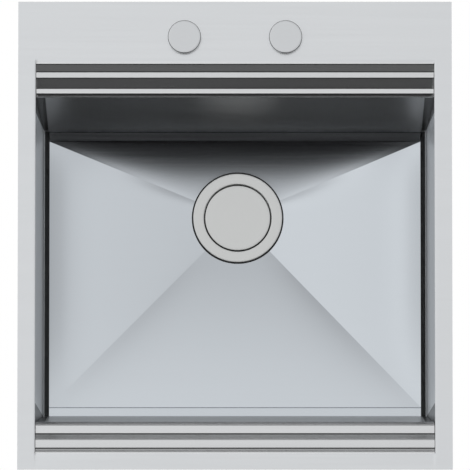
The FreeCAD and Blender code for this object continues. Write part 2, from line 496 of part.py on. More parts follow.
half_clip = ("-dim.clip_width / 2", "dim.clip_width / 2")
FOOT_Z = f"({DECK_BOTTOM} - dim.clip_drop)"
screw_hole = "(dim.screw_radius + dim.fit_gap)"
screw_spot = ("dim.screw_offset", "0")
JAW_BOTTOM = "(-dim.worktop - dim.jaw_thickness)"
HEAD_TOP = f"({JAW_BOTTOM} - dim.screw_below)"
foot_z = (FOOT_Z, f"{FOOT_Z} + dim.clip_plate")
foot_through = (f"{FOOT_Z} - dim.overcut", f"{FOOT_Z} + dim.clip_plate + dim.overcut")
jaw_through = (f"{JAW_BOTTOM} - dim.overcut", "dim.overcut - dim.worktop")
web_x = ("dim.clip_gap", "dim.clip_gap + dim.clip_plate")
head_z = (f"{HEAD_TOP} - dim.screw_head_height", HEAD_TOP)
brackets = []
jaws = []
screws = []
for number, clip in enumerate(CLIPS):
    web = box(f"web_{number}", web_x, half_clip, (FOOT_Z, DECK_BOTTOM))
    foot = box(f"foot_{number}", ("dim.clip_gap", "dim.clip_foot"), half_clip, foot_z)
    foot_hole = rod(f"foot_hole_{number}", screw_hole, screw_spot, foot_through)
    brackets.append(set_out(cut(f"bracket_{number}", fuse(f"angle_{number}", web, foot), foot_hole), clip))
    jaw = box(f"jaw_{number}", ("dim.clip_gap", "dim.jaw_reach"), half_clip, (JAW_BOTTOM, "-dim.worktop"))
    jaw_hole = rod(f"jaw_hole_{number}", screw_hole, screw_spot, jaw_through)
    jaws.append(set_out(cut(f"holed_jaw_{number}", jaw, jaw_hole), clip))
    shank = rod(f"shank_{number}", "dim.screw_radius", screw_spot, (HEAD_TOP, f"{FOOT_Z} + dim.screw_above"))
    head = rod(f"head_{number}", "dim.screw_head", screw_spot, head_z)
    screws.append(set_out(fuse(f"screw_{number}", shank, head), clip))
group("clip_brackets", brackets)
group("clip_jaws", jaws)
group("clip_screws", screws)

# Recompute, check every object and write one file per sub-part

doc.recompute()
for thing in doc.Objects:
    if "Invalid" in thing.State or "Error" in thing.State:
        raise RuntimeError(f"{thing.Name} failed: {thing.State}")
for piece in finished:
    if piece.Shape.isNull() or not piece.Shape.isValid():
        raise RuntimeError(f"{piece.Label} has no valid shape")
os.makedirs("parts", exist_ok=True)
for piece in finished:
    piece.Shape.exportStep(f"parts/{piece.Label}.step")
    print(piece.Label, len(piece.Shape.Solids), round(piece.Shape.Volume, 1))
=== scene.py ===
# %% [markdown]
# # Dressing a top-mount kitchen sink
#
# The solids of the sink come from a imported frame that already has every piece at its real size. This lesson
# gives them their finish, adds the small shapes that catch the light, and sets up the view.

# %% Load the frame
import math

import bmesh
import bpy
from mathutils import Matrix, Vector


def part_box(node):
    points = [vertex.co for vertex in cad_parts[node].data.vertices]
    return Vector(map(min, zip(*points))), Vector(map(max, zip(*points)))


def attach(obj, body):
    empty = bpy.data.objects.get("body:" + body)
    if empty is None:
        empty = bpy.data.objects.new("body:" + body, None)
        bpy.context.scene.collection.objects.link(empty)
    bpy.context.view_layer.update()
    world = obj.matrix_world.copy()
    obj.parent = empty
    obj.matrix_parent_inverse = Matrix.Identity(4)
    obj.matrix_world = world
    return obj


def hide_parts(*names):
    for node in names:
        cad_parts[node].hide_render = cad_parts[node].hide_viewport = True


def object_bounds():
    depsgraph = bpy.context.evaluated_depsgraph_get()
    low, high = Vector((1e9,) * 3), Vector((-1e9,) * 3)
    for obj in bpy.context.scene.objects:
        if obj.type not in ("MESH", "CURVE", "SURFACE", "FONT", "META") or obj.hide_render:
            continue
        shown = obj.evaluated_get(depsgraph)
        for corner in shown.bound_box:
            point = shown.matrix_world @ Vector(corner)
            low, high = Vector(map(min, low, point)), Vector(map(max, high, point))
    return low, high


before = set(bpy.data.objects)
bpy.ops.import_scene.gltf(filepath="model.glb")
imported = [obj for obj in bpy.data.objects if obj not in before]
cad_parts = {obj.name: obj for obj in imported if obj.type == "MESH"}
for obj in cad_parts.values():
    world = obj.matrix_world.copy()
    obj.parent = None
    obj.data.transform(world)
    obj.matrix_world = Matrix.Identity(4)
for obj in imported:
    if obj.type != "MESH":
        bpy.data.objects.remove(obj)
cad_low, cad_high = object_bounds()
MM = 0.001
print("solids:", len(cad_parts), "size:", [round(v, 3) for v in cad_high - cad_low])

# %% [markdown]
# Colours are written as the hex values that a screen shows. Shaders work in linear light, so one function
# turns a hex value into linear numbers, and one small function adds a node with its settings and its links.

# %% Colour and node helpers


def linear(hex_colour):
    channels = [int(hex_colour[i:i + 2], 16) / 255 for i in (1, 3, 5)]
    return (*[c / 12.92 if c <= 0.04045 else ((c + 0.055) / 1.055) ** 2.4 for c in channels], 1.0)


def put(tree, kind, inputs=None, **settings):
    node = tree.nodes.new(kind)
    for name, value in settings.items():
        setattr(node, name, value)
    for name, value in (inputs or {}).items():
        if isinstance(value, bpy.types.NodeSocket):
            tree.links.new(value, node.inputs[name])
        else:
            node.inputs[name].default_value = value
    return node


def new_material(name):
    material = bpy.data.materials.new(name)
    material.use_nodes = True
    material.node_tree.nodes.clear()
    return material, material.node_tree


def close_material(tree, shader):
    put(tree, "ShaderNodeOutputMaterial", {"Surface": shader.outputs["BSDF"]})


# %% [markdown]
# Satin stainless steel is rolled sheet that a belt of grit has scratched in one direction, here along X.
# The scratches are about 0.1 mm wide, too fine for this picture, so they are drawn wider, about 1.6 mm, and
# very faint. They change how rough the surface is, and the anisotropic shader stretches reflections across
# the grain. Inside the bowl, narrow bands along the foot of the walls and up their four corners get painted
# shade: their colour is made much darker than the sheet, on the inside faces only.

# %% Satin steel
GRAIN_LENGTH = 180 * MM
GRAIN_WIDTH = 1.6 * MM
GRAIN_ROUGH = 0.015
GRAIN_SHADE = 0.985
NOISE_RANGE = {"From Min": 0.3, "From Max": 0.7}
CORNER_SHADE_FADE = 0.4 * MM
# painted shade: how dark the colour is made along the foot and up the corners inside the bowl
CORNER_SHADE = 0.07
CORNER_SHADE_HEIGHT = 5.3 * MM


def paint_corner_shade(tree, place, surface, pan):
    # 1 on plain sheet, falling to the painted shade level along the pan's edge and up the corners, on the
    # inside only
    low, high = pan
    spot = put(tree, "ShaderNodeSeparateXYZ", {"Vector": place.outputs["Object"]})
    aside = put(tree, "ShaderNodeMath", {0: spot.outputs["X"]}, operation="ABSOLUTE")
    edges = {"above": (spot.outputs["Z"], low.z + CORNER_SHADE_HEIGHT, CORNER_SHADE_FADE),
             "within": (aside.outputs[0], high.x, -CORNER_SHADE_FADE),
             "behind": (spot.outputs["Y"], low.y, CORNER_SHADE_FADE),
             "before": (spot.outputs["Y"], high.y, -CORNER_SHADE_FADE)}
    plain = {where: put(tree, "ShaderNodeMapRange", {
        "Value": value, "From Min": edge - fade, "From Max": edge + fade}).outputs[0]
        for where, (value, edge, fade) in edges.items()}
    between = put(tree, "ShaderNodeMath", {0: plain["behind"], 1: plain["before"]}, operation="MINIMUM")
    off_corner = put(tree, "ShaderNodeMath", {0: plain["within"], 1: between.outputs[0]}, operation="MAXIMUM")
    sheet = put(tree, "ShaderNodeMath", {0: plain["above"], 1: off_corner.outputs[0]}, operation="MINIMUM")
    centre = (low + high) / 2
    from_centre = put(tree, "ShaderNodeMapping", {
        "Vector": place.outputs["Object"], "Location": (-centre.x, -centre.y, 0), "Scale": (1, 1, 0)})
    faces_out = put(tree, "ShaderNodeVectorMath", {
        0: surface.outputs["Normal"], 1: from_centre.outputs["Vector"]}, operation="DOT_PRODUCT")
    outside = put(tree, "ShaderNodeMath", {0: faces_out.outputs["Value"], 1: 0.0}, operation="GREATER_THAN")
    kept = put(tree, "ShaderNodeMath", {0: sheet.outputs[0], 1: outside.outputs[0]}, operation="MAXIMUM")
    return put(tree, "ShaderNodeMapRange", {"Value": kept.outputs[0], "To Min": CORNER_SHADE, "To Max": 1.0})


def satin_steel(name, tone, roughness, spread, pan=None):
    # pan: the box of the floor's edge, if the piece gets painted shade along it and up its corners
    material, tree = new_material(name)
    place = put(tree, "ShaderNodeTexCoord")
    surface = put(tree, "ShaderNodeNewGeometry")
    spacing = (1 / GRAIN_LENGTH, 1 / GRAIN_WIDTH, 1 / GRAIN_WIDTH)
    stretched = put(tree, "ShaderNodeMapping", {"Vector": place.outputs["Object"], "Scale": spacing})
    scratches = put(tree, "ShaderNodeTexNoise", {
        "Vector": stretched.outputs["Vector"], "Scale": 1.0, "Detail": 3.0})
    rough = put(tree, "ShaderNodeMapRange", {
        "Value": scratches.outputs["Fac"], **NOISE_RANGE,
        "To Min": roughness - GRAIN_ROUGH, "To Max": roughness + GRAIN_ROUGH})
    shade = put(tree, "ShaderNodeMapRange", {
        "Value": scratches.outputs["Fac"], **NOISE_RANGE, "To Min": GRAIN_SHADE, "To Max": 1.0})
    if pan:
        # painted shade along the bowl's inner foot and corners
        corner_shade = paint_corner_shade(tree, place, surface, pan)
        shade = put(tree, "ShaderNodeMath", {0: shade.outputs[0], 1: corner_shade.outputs[0]}, operation="MULTIPLY")
    tint = put(tree, "ShaderNodeVectorMath", {
        0: linear(tone)[:3], "Scale": shade.outputs[0]}, operation="SCALE")
    across = put(tree, "ShaderNodeVectorMath", {
        0: surface.outputs["Normal"], 1: (1, 0, 0)}, operation="CROSS_PRODUCT")
    shader = put(tree, "ShaderNodeBsdfPrincipled", {
        "Base Color": tint.outputs["Vector"], "Metallic": 1.0, "Roughness": rough.outputs["Result"],
        "Anisotropic": spread, "Tangent": across.outputs["Vector"]})
    close_material(tree, shader)
    return material


pan_box = [Vector(corner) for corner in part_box("bowl_floor")]
pan_box[0].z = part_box("bowl_walls")[0][2]
deck_steel = satin_steel("satin_deck_steel", "#EFF0F1", roughness=0.30, spread=0.0)
ledge_steel = satin_steel("satin_ledge_steel", "#DEDEDE", roughness=0.18, spread=0.3)
bowl_steel = satin_steel("satin_bowl_steel", "#C3C7CB", roughness=0.12, spread=0.2)
wall_steel = satin_steel("satin_wall_steel", "#F2F3F4", roughness=0.30, spread=0.3, pan=pan_box)
print("satin finishes:", deck_steel.name, ledge_steel.name, bowl_steel.name, wall_steel.name)

# %% [markdown]
# The flange, the plug and the two discs on the tap ledge are turned on a lathe, so their scratches run in
# rings. The rings are drawn from the distance to the piece's own axis.

# %% Turned steel
RING_WIDTH = 0.9 * MM
RING_ROUGH = 0.02
RING_RELIEF = 0.01
RING_DEPTH = 0.1 * MM


def turned_steel(name, tone, centre, roughness):
    material, tree = new_material(name)
    place = put(tree, "ShaderNodeTexCoord")
    centred = put(tree, "ShaderNodeMapping", {
        "Vector": place.outputs["Object"], "Location": (-centre[0], -centre[1], 0)})
    flat = put(tree, "ShaderNodeVectorMath", {0: centred.outputs["Vector"], 1: (1, 1, 0)}, operation="MULTIPLY")
    radius = put(tree, "ShaderNodeVectorMath", {0: flat.outputs["Vector"]}, operation="LENGTH")
    rings = put(tree, "ShaderNodeTexNoise", {
        "W": radius.outputs["Value"], "Scale": 1 / RING_WIDTH, "Detail": 2.0}, noise_dimensions="1D")
    rough = put(tree, "ShaderNodeMapRange", {
        "Value": rings.outputs["Fac"], **NOISE_RANGE,
        "To Min": roughness - RING_ROUGH, "To Max": roughness + RING_ROUGH})
    relief = put(tree, "ShaderNodeBump", {
        "Height": rings.outputs["Fac"], "Strength": RING_RELIEF, "Distance": RING_DEPTH})
    shader = put(tree, "ShaderNodeBsdfPrincipled", {
        "Base Color": linear(tone), "Metallic": 1.0, "Roughness": rough.outputs["Result"],
        "Normal": relief.outputs["Normal"]})
    close_material(tree, shader)
    return material


def middle(node):
    low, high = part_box(node)
    return (Vector(low) + Vector(high)) / 2


waste_steel = turned_steel("turned_waste_steel", "#E1E1DF", middle("plug_cap"), roughness=0.30)
knob_steel = turned_steel("turned_knob_steel", "#E8E9EA", middle("control_knob"), roughness=0.32)
cap_steel = turned_steel("turned_cap_steel", "#E8E9EA", middle("tap_hole_cap"), roughness=0.32)
print("turned finishes:", waste_steel.name, knob_steel.name, cap_steel.name)

# %% [markdown]
# Under the deck there are plain working materials: zinc-plated steel, brass, rubber, foam, bitumen and two
# moulded plastics. Each has its own colour, a fine speckle at a real size, and the gloss that its making
# leaves.

# %% Working materials
SPECKLE_STOPS = (0.35, 0.65)
SPECKLE_DEPTH = 0.2 * MM


def speckled(name, light, dark, size, roughness, metallic=0.0, bump=0.2):
    material, tree = new_material(name)
    place = put(tree, "ShaderNodeTexCoord")
    grains = put(tree, "ShaderNodeTexNoise", {
        "Vector": place.outputs["Object"], "Scale": 1 / size, "Detail": 4.0})
    colour = put(tree, "ShaderNodeValToRGB", {"Fac": grains.outputs["Fac"]})
    for stop, position, tone in zip(colour.color_ramp.elements, SPECKLE_STOPS, (dark, light)):
        stop.position = position
        stop.color = linear(tone)
    relief = put(tree, "ShaderNodeBump", {
        "Height": grains.outputs["Fac"], "Strength": bump, "Distance": SPECKLE_DEPTH})
    shader = put(tree, "ShaderNodeBsdfPrincipled", {
        "Base Color": colour.outputs["Color"], "Metallic": metallic, "Roughness": roughness,
        "Normal": relief.outputs["Normal"]})
    close_material(tree, shader)
    return material


zinc_plate = speckled("zinc_plated_steel", "#C9CBCB", "#B4B6B7", 4 * MM, 0.38, metallic=1.0, bump=0.05)
bush_brass = speckled("turned_brass", "#D9B978", "#C9A761", 3 * MM, 0.30, metallic=1.0, bump=0.05)
basket_steel = speckled("pressed_basket_steel", "#CFD1D2", "#C4C6C8", 5 * MM, 0.25, metallic=1.0, bump=0.03)
black_rubber = speckled("black_rubber", "#2B2B2B", "#222222", 1.5 * MM, 0.75)
seal_foam = speckled("closed_cell_foam", "#3A3A3C", "#2C2C2E", 0.9 * MM, 0.95, bump=0.6)
bitumen = speckled("bitumen_pad", "#4A4A4C", "#3A3A3C", 2.5 * MM, 0.85, bump=0.8)
grey_plastic = speckled("moulded_polypropylene", "#C6C7C5", "#BDBEBC", 2 * MM, 0.45, bump=0.08)
black_plastic = speckled("moulded_black_plastic", "#2A2A2B", "#232324", 1.5 * MM, 0.42, bump=0.1)
cable_sheath = speckled("black_cable_sheath", "#242425", "#1C1C1D", 2 * MM, 0.35, bump=0.05)

NODE_FINISH = {
    deck_steel: ["deck"],
    ledge_steel: ["rear_ledge", "front_ledge"],
    bowl_steel: ["bowl_floor"],
    wall_steel: ["bowl_walls"],
    waste_steel: ["drain_flange", "plug_cap"],
    basket_steel: ["strainer_basket", "lift_pin"],
    knob_steel: ["control_knob"],
    cap_steel: ["tap_hole_cap"],
    zinc_plate: ["knob_spindle", "cap_stud", "cap_clamp_plate", "cap_wing_nut", "clip_brackets", "clip_jaws",
                 "clip_screws", "deck_stiffener"],
    black_rubber: ["drain_gasket", "chamber_gasket", "plug_seal", "knob_gasket", "cap_gasket"],
    seal_foam: ["rim_seal"],
    bitumen: ["sound_pads"],
    grey_plastic: ["drain_chamber", "lift_unit", "lower_gland"],
    black_plastic: ["knob_nut", "cam_housing", "upper_gland", "knob_cam", "cam_follower"],
    bush_brass: ["pin_bush", "knob_bush"],
    cable_sheath: ["bowden_cable"],
}
for finish, nodes in NODE_FINISH.items():
    for node in nodes:
        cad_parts[node].data.materials.clear()
        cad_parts[node].data.materials.append(finish)
print("finishes:", len(NODE_FINISH))

# %% [markdown]
# Every new piece is finished in the same way: seams are merged, the normals are turned outwards, and the
# object stays at the origin with its place in its mesh. Faces that meet at less than 35 degrees are shaded
# smooth.

# %% Finishing a piece
SMOOTH_BELOW = math.radians(35)
MERGE_DISTANCE = 0.002 * MM


def kept_mesh(name, mesh):
    data = bpy.data.meshes.new(name)
    mesh.to_mesh(data)
    mesh.free()
    return data


def finish_piece(name, mesh, finish, body, slot, *replaced, smooth_below=SMOOTH_BELOW):
    bmesh.ops.remove_doubles(mesh, verts=mesh.verts[:], dist=MERGE_DISTANCE)
    bmesh.ops.recalc_face_normals(mesh, faces=mesh.faces[:])
    data = kept_mesh(name, mesh)
    data.materials.append(finish)
    data.shade_smooth()
    data.set_sharp_from_angle(angle=smooth_below)
    piece = bpy.data.objects.new(name, data)
    bpy.context.collection.objects.link(piece)
    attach(piece, body)
    if replaced:
        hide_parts(*replaced)
    print(name, "faces:", len(data.polygons))


# %% [markdown]
# Most of the sink is either folded from sheet or turned. Both start from a flat outline whose corners are
# rounded by a vertex bevel. A folded rail is that outline pulled along X, and a turned piece is the outline
# spun about Z. Rounding the outline first is simpler than bevelling the finished solid, because each corner
# has its own radius.

# %% Outlines, rails and turned pieces
BEND_STEPS = 5
TURN_STEPS = 96
# corner radii of turned pieces, in millimetres
THIN_EDGE = 0.2
FINE_EDGE = 0.3
SOFT_EDGE = 0.4
LIGHT_EDGE = 0.5
ROUND_EDGE = 0.6


def whole(mesh):
    return mesh.verts[:] + mesh.edges[:] + mesh.faces[:]


def of_kind(parts, kind):
    return [part for part in parts if isinstance(part, kind)]


def pull_faces(mesh, faces, way):
    pulled = bmesh.ops.extrude_face_region(mesh, geom=faces)["geom"]
    bmesh.ops.translate(mesh, verts=of_kind(pulled, bmesh.types.BMVert), vec=way)


def pull_edges(mesh, edges):
    # the new points and edges, still where the old ones are
    parts = bmesh.ops.extrude_edge_only(mesh, edges=edges)["geom"]
    return of_kind(parts, bmesh.types.BMVert), of_kind(parts, bmesh.types.BMEdge)


def ring_edges(verts):
    return list({edge for vert in verts for edge in vert.link_edges})


def round_edges(mesh, edges, radius, segments=2):
    bmesh.ops.bevel(mesh, geom=edges, offset=radius * MM, offset_type="OFFSET", segments=segments,
                    profile=0.5, affect="EDGES", material=-1)


def rounded_outline(mesh, points, radii):
    corners = [mesh.verts.new(Vector(point) * MM) for point in points]
    mesh.faces.new(corners)
    for radius in sorted(set(radii) - {0}):
        chosen = [corner for corner, own in zip(corners, radii) if own == radius]
        bmesh.ops.bevel(mesh, geom=chosen, offset=radius * MM, offset_type="OFFSET", segments=BEND_STEPS,
                        profile=0.5, affect="VERTICES", material=-1)


def folded_rail(mesh, outline, start, end):
    # outline: (y, z, radius) in millimetres, pulled along X from start to end
    earlier = set(mesh.faces)
    rounded_outline(mesh, [(start, y, z) for y, z, _ in outline], [radius for *_, radius in outline])
    pull_faces(mesh, [face for face in mesh.faces if face not in earlier], ((end - start) * MM, 0, 0))


def turned_piece(outline, centre, steps=TURN_STEPS):
    # outline: (radius from the axis, z, corner radius) in millimetres
    mesh = bmesh.new()
    rounded_outline(mesh, [(r, 0, z) for r, z, _ in outline], [radius for *_, radius in outline])
    bmesh.ops.delete(mesh, geom=mesh.faces[:], context="FACES_ONLY")
    bmesh.ops.spin(mesh, geom=mesh.verts[:] + mesh.edges[:], cent=(0, 0, 0), axis=(0, 0, 1), dvec=(0, 0, 0),
                   angle=math.tau, steps=steps, use_merge=True)
    bmesh.ops.remove_doubles(mesh, verts=mesh.verts[:], dist=MERGE_DISTANCE)
    bmesh.ops.translate(mesh, verts=mesh.verts[:], vec=(centre[0], centre[1], 0))
    return mesh


def box_mm(node):
    low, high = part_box(node)
    return Vector(low) / MM, Vector(high) / MM


# %% [markdown]
# The two ledges are rails folded from the deck's sheet: slope, tread, slope, tread and a short lip. On the
# real sink the folds have a small radius, and each one draws a thin bright line, so the outline has round
# corners. The rail also takes the first fold at the edge of the deck. A black rubber seal, sunk a millimetre,
# closes each end as painted shade in the end gap, and two folds of the front ledge hold a black bead, which
# is painted shade in the crease.

# %% Ledges
deck_low, deck_high = box_mm("deck")
DECK_TOP = deck_high.z
GAUGE = 1.2
CRISP_FOLD = 0.8
UNDER_FOLD = 0.5
LAP = 2.0
END_GAP = 0.8
SHADE_STRIP_SUNK = 1.0
STEP_DROPS = (7.0, 8.0)
# way inwards along Y, then the first slope, first tread, second slope and second tread, measured along Y
LEDGE_STEPS = {"rear_ledge": (-1, 7.4, 7.0, 10.4, 6.2), "front_ledge": (1, 4.4, 9.6, 7.1, 9.5)}
LIP_DROPS = {"rear_ledge": 2.2, "front_ledge": 4.2}
# the corner of the outline that a black bead of painted shade lies in, and how far it reaches back and on from
# there
LEDGE_SHADE_BEADS = {"front_ledge": ((2, 1.8, 0.4), (4, 1.6, 0.4))}
SHADE_BEAD_ROOT = 0.2


def ledge_outline(node):
    low, high = box_mm(node)
    inward, *runs = LEDGE_STEPS[node]
    edge, toe = (high.y, low.y) if inward < 0 else (low.y, high.y)
    first_tread = DECK_TOP - STEP_DROPS[0]
    second_tread = first_tread - STEP_DROPS[1]
    top = [(edge - inward * LAP, DECK_TOP, 0), (edge, DECK_TOP, CRISP_FOLD)]
    reach = edge
    for run, z in zip(runs, (first_tread, first_tread, second_tread, second_tread)):
        reach += inward * run
        top.append((reach, z, CRISP_FOLD))
    lip = [(toe, second_tread - LIP_DROPS[node], CRISP_FOLD), (toe, low.z, 0),
           (toe - inward * GAUGE, low.z, 0), (reach - inward * GAUGE, second_tread - GAUGE, UNDER_FOLD)]
    under = [(y, z - GAUGE, radius) for y, z, radius in reversed(top[:-1])]
    return top + lip + under


def shade_bead_outline(outline, corner, back_reach, on_reach):
    # a black triangle of painted shade in the fold: a point on each of its faces, and a root sunk into the
    # sheet
    fold, earlier, later = (Vector(outline[i][:2]) for i in (corner, corner - 1, corner + 1))
    back_way, on_way = (earlier - fold).normalized(), (later - fold).normalized()
    points = [fold + back_way * back_reach, fold + on_way * on_reach, fold - (back_way + on_way) * SHADE_BEAD_ROOT]
    return [(*point, 0) for point in points]


OPEN_X = box_mm("bowl_walls")[1].x - GAUGE
RAIL_HALF = OPEN_X - END_GAP
painted_shade_strips = bmesh.new()
for name in LEDGE_STEPS:
    outline = ledge_outline(name)
    rail = bmesh.new()
    folded_rail(rail, outline, -RAIL_HALF, RAIL_HALF)
    finish_piece(name + "_rail", rail, ledge_steel, "sink", "ledge_steel", name)
    # black beads of painted shade in two folds of the front ledge
    for shade_bead in LEDGE_SHADE_BEADS.get(name, ()):
        folded_rail(painted_shade_strips, shade_bead_outline(outline, *shade_bead), -RAIL_HALF, RAIL_HALF)
    foot = min(z for _, z, _ in outline)
    sunk = [(y, max(z - SHADE_STRIP_SUNK, foot), radius) for y, z, radius in outline]
    # black end seals, painted shade in the gaps at the ledge ends
    for start, end in ((-OPEN_X, -RAIL_HALF), (RAIL_HALF, OPEN_X)):
        folded_rail(painted_shade_strips, sunk, start, end)
finish_piece("ledge_painted_shade_strips", painted_shade_strips, black_rubber, "sink", "rubber")

# %% [markdown]
# The deck is one plate with a large opening, two round holes under the discs, and a flange turned down
# along each side of the bowl. It starts as one rectangular face. Planes cut it where the opening and the
# holes go, the middle is deleted, a circle is bridged into each hole's square, and the side edges are
# pulled down. Then the sheet gets its thickness, and the flange's fold is bevelled, because a real fold is
# rounded. A few more cuts run beside the opening. They keep smooth shading off the flat plate.

# %% Deck
OPEN_REAR = box_mm("rear_ledge")[1].y + LAP
OPEN_FRONT = box_mm("front_ledge")[0].y - LAP
FLANGE_DROP = DECK_TOP - deck_low.z
TAP_HOLE = 17.5
CONTROL_HOLE = 14.0
HOLE_STEPS = 48
HOLE_SQUARE = Vector((24, 24, 0))
KEEP_FLAT = 3.0
SIDE_FOLD = 0.5
NEAR = 0.01
tap_spot = middle("tap_hole_cap") / MM
control_spot = middle("control_knob") / MM


def flat_rectangle(low, high, z):
    mesh = bmesh.new()
    bmesh.ops.create_grid(mesh, x_segments=1, y_segments=1, size=0.5)
    bmesh.ops.scale(mesh, verts=mesh.verts[:], vec=((high.x - low.x) * MM, (high.y - low.y) * MM, 1))
    centre = Vector(((low.x + high.x) / 2, (low.y + high.y) / 2, z))
    bmesh.ops.translate(mesh, verts=mesh.verts[:], vec=centre * MM)
    return mesh


def inside(face, low, high):
    spot = face.calc_center_median() / MM
    return low[0] < spot.x < high[0] and low[1] < spot.y < high[1]


def open_edges(mesh, chosen):
    # edges on the sheet's border whose two ends, in millimetres, both pass the test
    border = [edge for edge in mesh.edges if edge.is_boundary]
    return [edge for edge in border if all(chosen(vert.co / MM) for vert in edge.verts)]


def thicken_down(mesh):
    bmesh.ops.recalc_face_normals(mesh, faces=mesh.faces[:])
    if max(mesh.faces, key=lambda face: face.calc_area()).normal.z < 0:
        bmesh.ops.reverse_faces(mesh, faces=mesh.faces[:])
    bmesh.ops.solidify(mesh, geom=mesh.faces[:], thickness=GAUGE * MM)


def beside_bowl(spot):
    return abs(abs(spot.x) - OPEN_X) < NEAR


def on_top_fold(spot):
    return beside_bowl(spot) and abs(spot.z - DECK_TOP) < NEAR


sheet = flat_rectangle(deck_low, deck_high, DECK_TOP)
cuts = [((side * x, 0, 0), (1, 0, 0)) for side in (-1, 1)
        for x in (OPEN_X, OPEN_X - KEEP_FLAT, OPEN_X + KEEP_FLAT)]
cuts += [((0, y, 0), (0, 1, 0))
         for y in (OPEN_FRONT, OPEN_FRONT - KEEP_FLAT, OPEN_REAR, OPEN_REAR + KEEP_FLAT)]
cuts += [((hole.x + side * HOLE_SQUARE.x, 0, 0), (1, 0, 0)) for hole in (tap_spot, control_spot)
         for side in (-1, 1)]
cuts += [((0, tap_spot.y + side * HOLE_SQUARE.y, 0), (0, 1, 0)) for side in (-1, 1)]
for place, normal in cuts:
    bmesh.ops.bisect_plane(sheet, geom=whole(sheet), plane_co=Vector(place) * MM, plane_no=normal)
mouth = [face for face in sheet.faces if inside(face, (-OPEN_X, OPEN_FRONT), (OPEN_X, OPEN_REAR))]
bmesh.ops.delete(sheet, geom=mouth, context="FACES")
for hole, radius in ((tap_spot, TAP_HOLE), (control_spot, CONTROL_HOLE)):
    square = [face for face in sheet.faces if inside(face, hole - HOLE_SQUARE, hole + HOLE_SQUARE)]
    border = square[0].edges[:]
    bmesh.ops.delete(sheet, geom=square, context="FACES_ONLY")
    on_deck = Matrix.Translation(Vector((hole.x, hole.y, DECK_TOP)) * MM)
    circle = bmesh.ops.create_circle(sheet, segments=HOLE_STEPS, radius=radius * MM, matrix=on_deck)["verts"]
    bmesh.ops.bridge_loops(sheet, edges=border + ring_edges(circle))
flange_foot, _ = pull_edges(sheet, open_edges(sheet, beside_bowl))
bmesh.ops.translate(sheet, verts=flange_foot, vec=(0, 0, -FLANGE_DROP * MM))
thicken_down(sheet)
folds = [edge for edge in sheet.edges if all(on_top_fold(vert.co / MM) for vert in edge.verts)]
round_edges(sheet, folds, SIDE_FOLD, BEND_STEPS)
finish_piece("deck_sheet", sheet, deck_steel, "sink", "deck_steel", "deck")

# %% [markdown]
# The floor of the bowl is pressed from one sheet: a narrow strip at the front and the back, and four planes
# that fold down to the round seat of the waste. It starts as the pan's rectangle. Its edges are cut into
# short lengths, then pulled in to the seat's circle, each point straight towards the drain, so that the
# four folds stay true. The height then follows the distance to the drain. Pressed sheet is never quite
# flat, and that makes its reflections fade: the rear plane sags by 1.4 mm in its middle, the front plane
# rises by 0.9 mm, the side planes dip near their outer edge, and the two rear folds sag a little with the
# rear plane. A shallow pressed groove parts the front strip from its plane. The rear strip is parted by a
# small step and rises towards its wall. Here only faces that meet at less than 2 degrees are shaded smooth,
# so the faint folds stay crisp.

# %% Bowl floor
floor_low, floor_high = box_mm("bowl_floor")
walls_low, walls_high = box_mm("bowl_walls")
FLOOR_TOP = walls_low.z
DROP = 8.0
STRIP = 10.0
REAR_SAG = 1.4
FRONT_RISE = 0.9
SIDE_RISE = 0.8
EDGE_DIP = 2.2
EDGE_SHARE = 0.25
FOLD_SAG = 0.75
FOLD_REACH = 4
REAR_STRIP_RISE = 1.6
GROOVE_HALF = 0.45
GROOVE_DEPTH = 0.4
SEAT_RADIUS = 51.7
DRAIN_HOLE = 43.1
LOW_SHARE = 0.15
EDGE_CUTS = 31
SPOKE_CUTS = 12
CRISP_BELOW = math.radians(2)
drain = middle("plug_cap") / MM
pan_low = Vector((floor_low.x + GAUGE, floor_low.y + GAUGE + STRIP))
pan_high = Vector((floor_high.x - GAUGE, floor_high.y - GAUGE - STRIP))


def pan_height(spot):
    # how far out the spot lies between the drain's middle (0) and the pan's edge (1), across and along
    dx, dy = spot.x / MM - drain.x, spot.y / MM - drain.y
    across = dx / (pan_high.x - drain.x) if dx > 0 else dx / (pan_low.x - drain.x)
    along = dy / (pan_high.y - drain.y) if dy > 0 else dy / (pan_low.y - drain.y)
    inward = (1 - max(across, along)) / (1 - LOW_SHARE)
    bow = 4 * inward * (1 - inward)
    if across > along:
        bend = SIDE_RISE * bow - EDGE_DIP * (1 - inward) * (1 - max(0, 1 - inward / EDGE_SHARE) ** 2)
    else:
        bend = (FRONT_RISE if dy < 0 else -REAR_SAG) * bow
    at_fold = 0 if dy < 0 else -FOLD_SAG * bow
    near_fold = (min(across, along) / max(across, along)) ** FOLD_REACH
    return FLOOR_TOP - DROP * inward + bend + (at_fold - bend) * near_fold


pressing = flat_rectangle(pan_low, pan_high, FLOOR_TOP)
bmesh.ops.delete(pressing, geom=pressing.faces[:], context="FACES_ONLY")
bmesh.ops.subdivide_edges(pressing, edges=pressing.edges[:], cuts=EDGE_CUTS)
pan_edge = pressing.edges[:]
seat, seat_edge = pull_edges(pressing, pan_edge)
for vert in seat:
    outward = Vector((vert.co.x - drain.x * MM, vert.co.y - drain.y * MM)).normalized() * SEAT_RADIUS * MM
    vert.co.x, vert.co.y = drain.x * MM + outward.x, drain.y * MM + outward.y
spokes = [edge for edge in pressing.edges if edge not in set(pan_edge) | set(seat_edge)]
bmesh.ops.subdivide_edges(pressing, edges=spokes, cuts=SPOKE_CUTS)
for vert in pressing.verts:
    vert.co.z = pan_height(vert.co) * MM
seat_edge = open_edges(pressing, lambda spot: (spot.xy - drain.xy).length < SEAT_RADIUS + NEAR)
seat_foot, seat_edge = pull_edges(pressing, seat_edge)
for vert in seat_foot:
    vert.co.z = (FLOOR_TOP - DROP) * MM
hole_edge, _ = pull_edges(pressing, seat_edge)
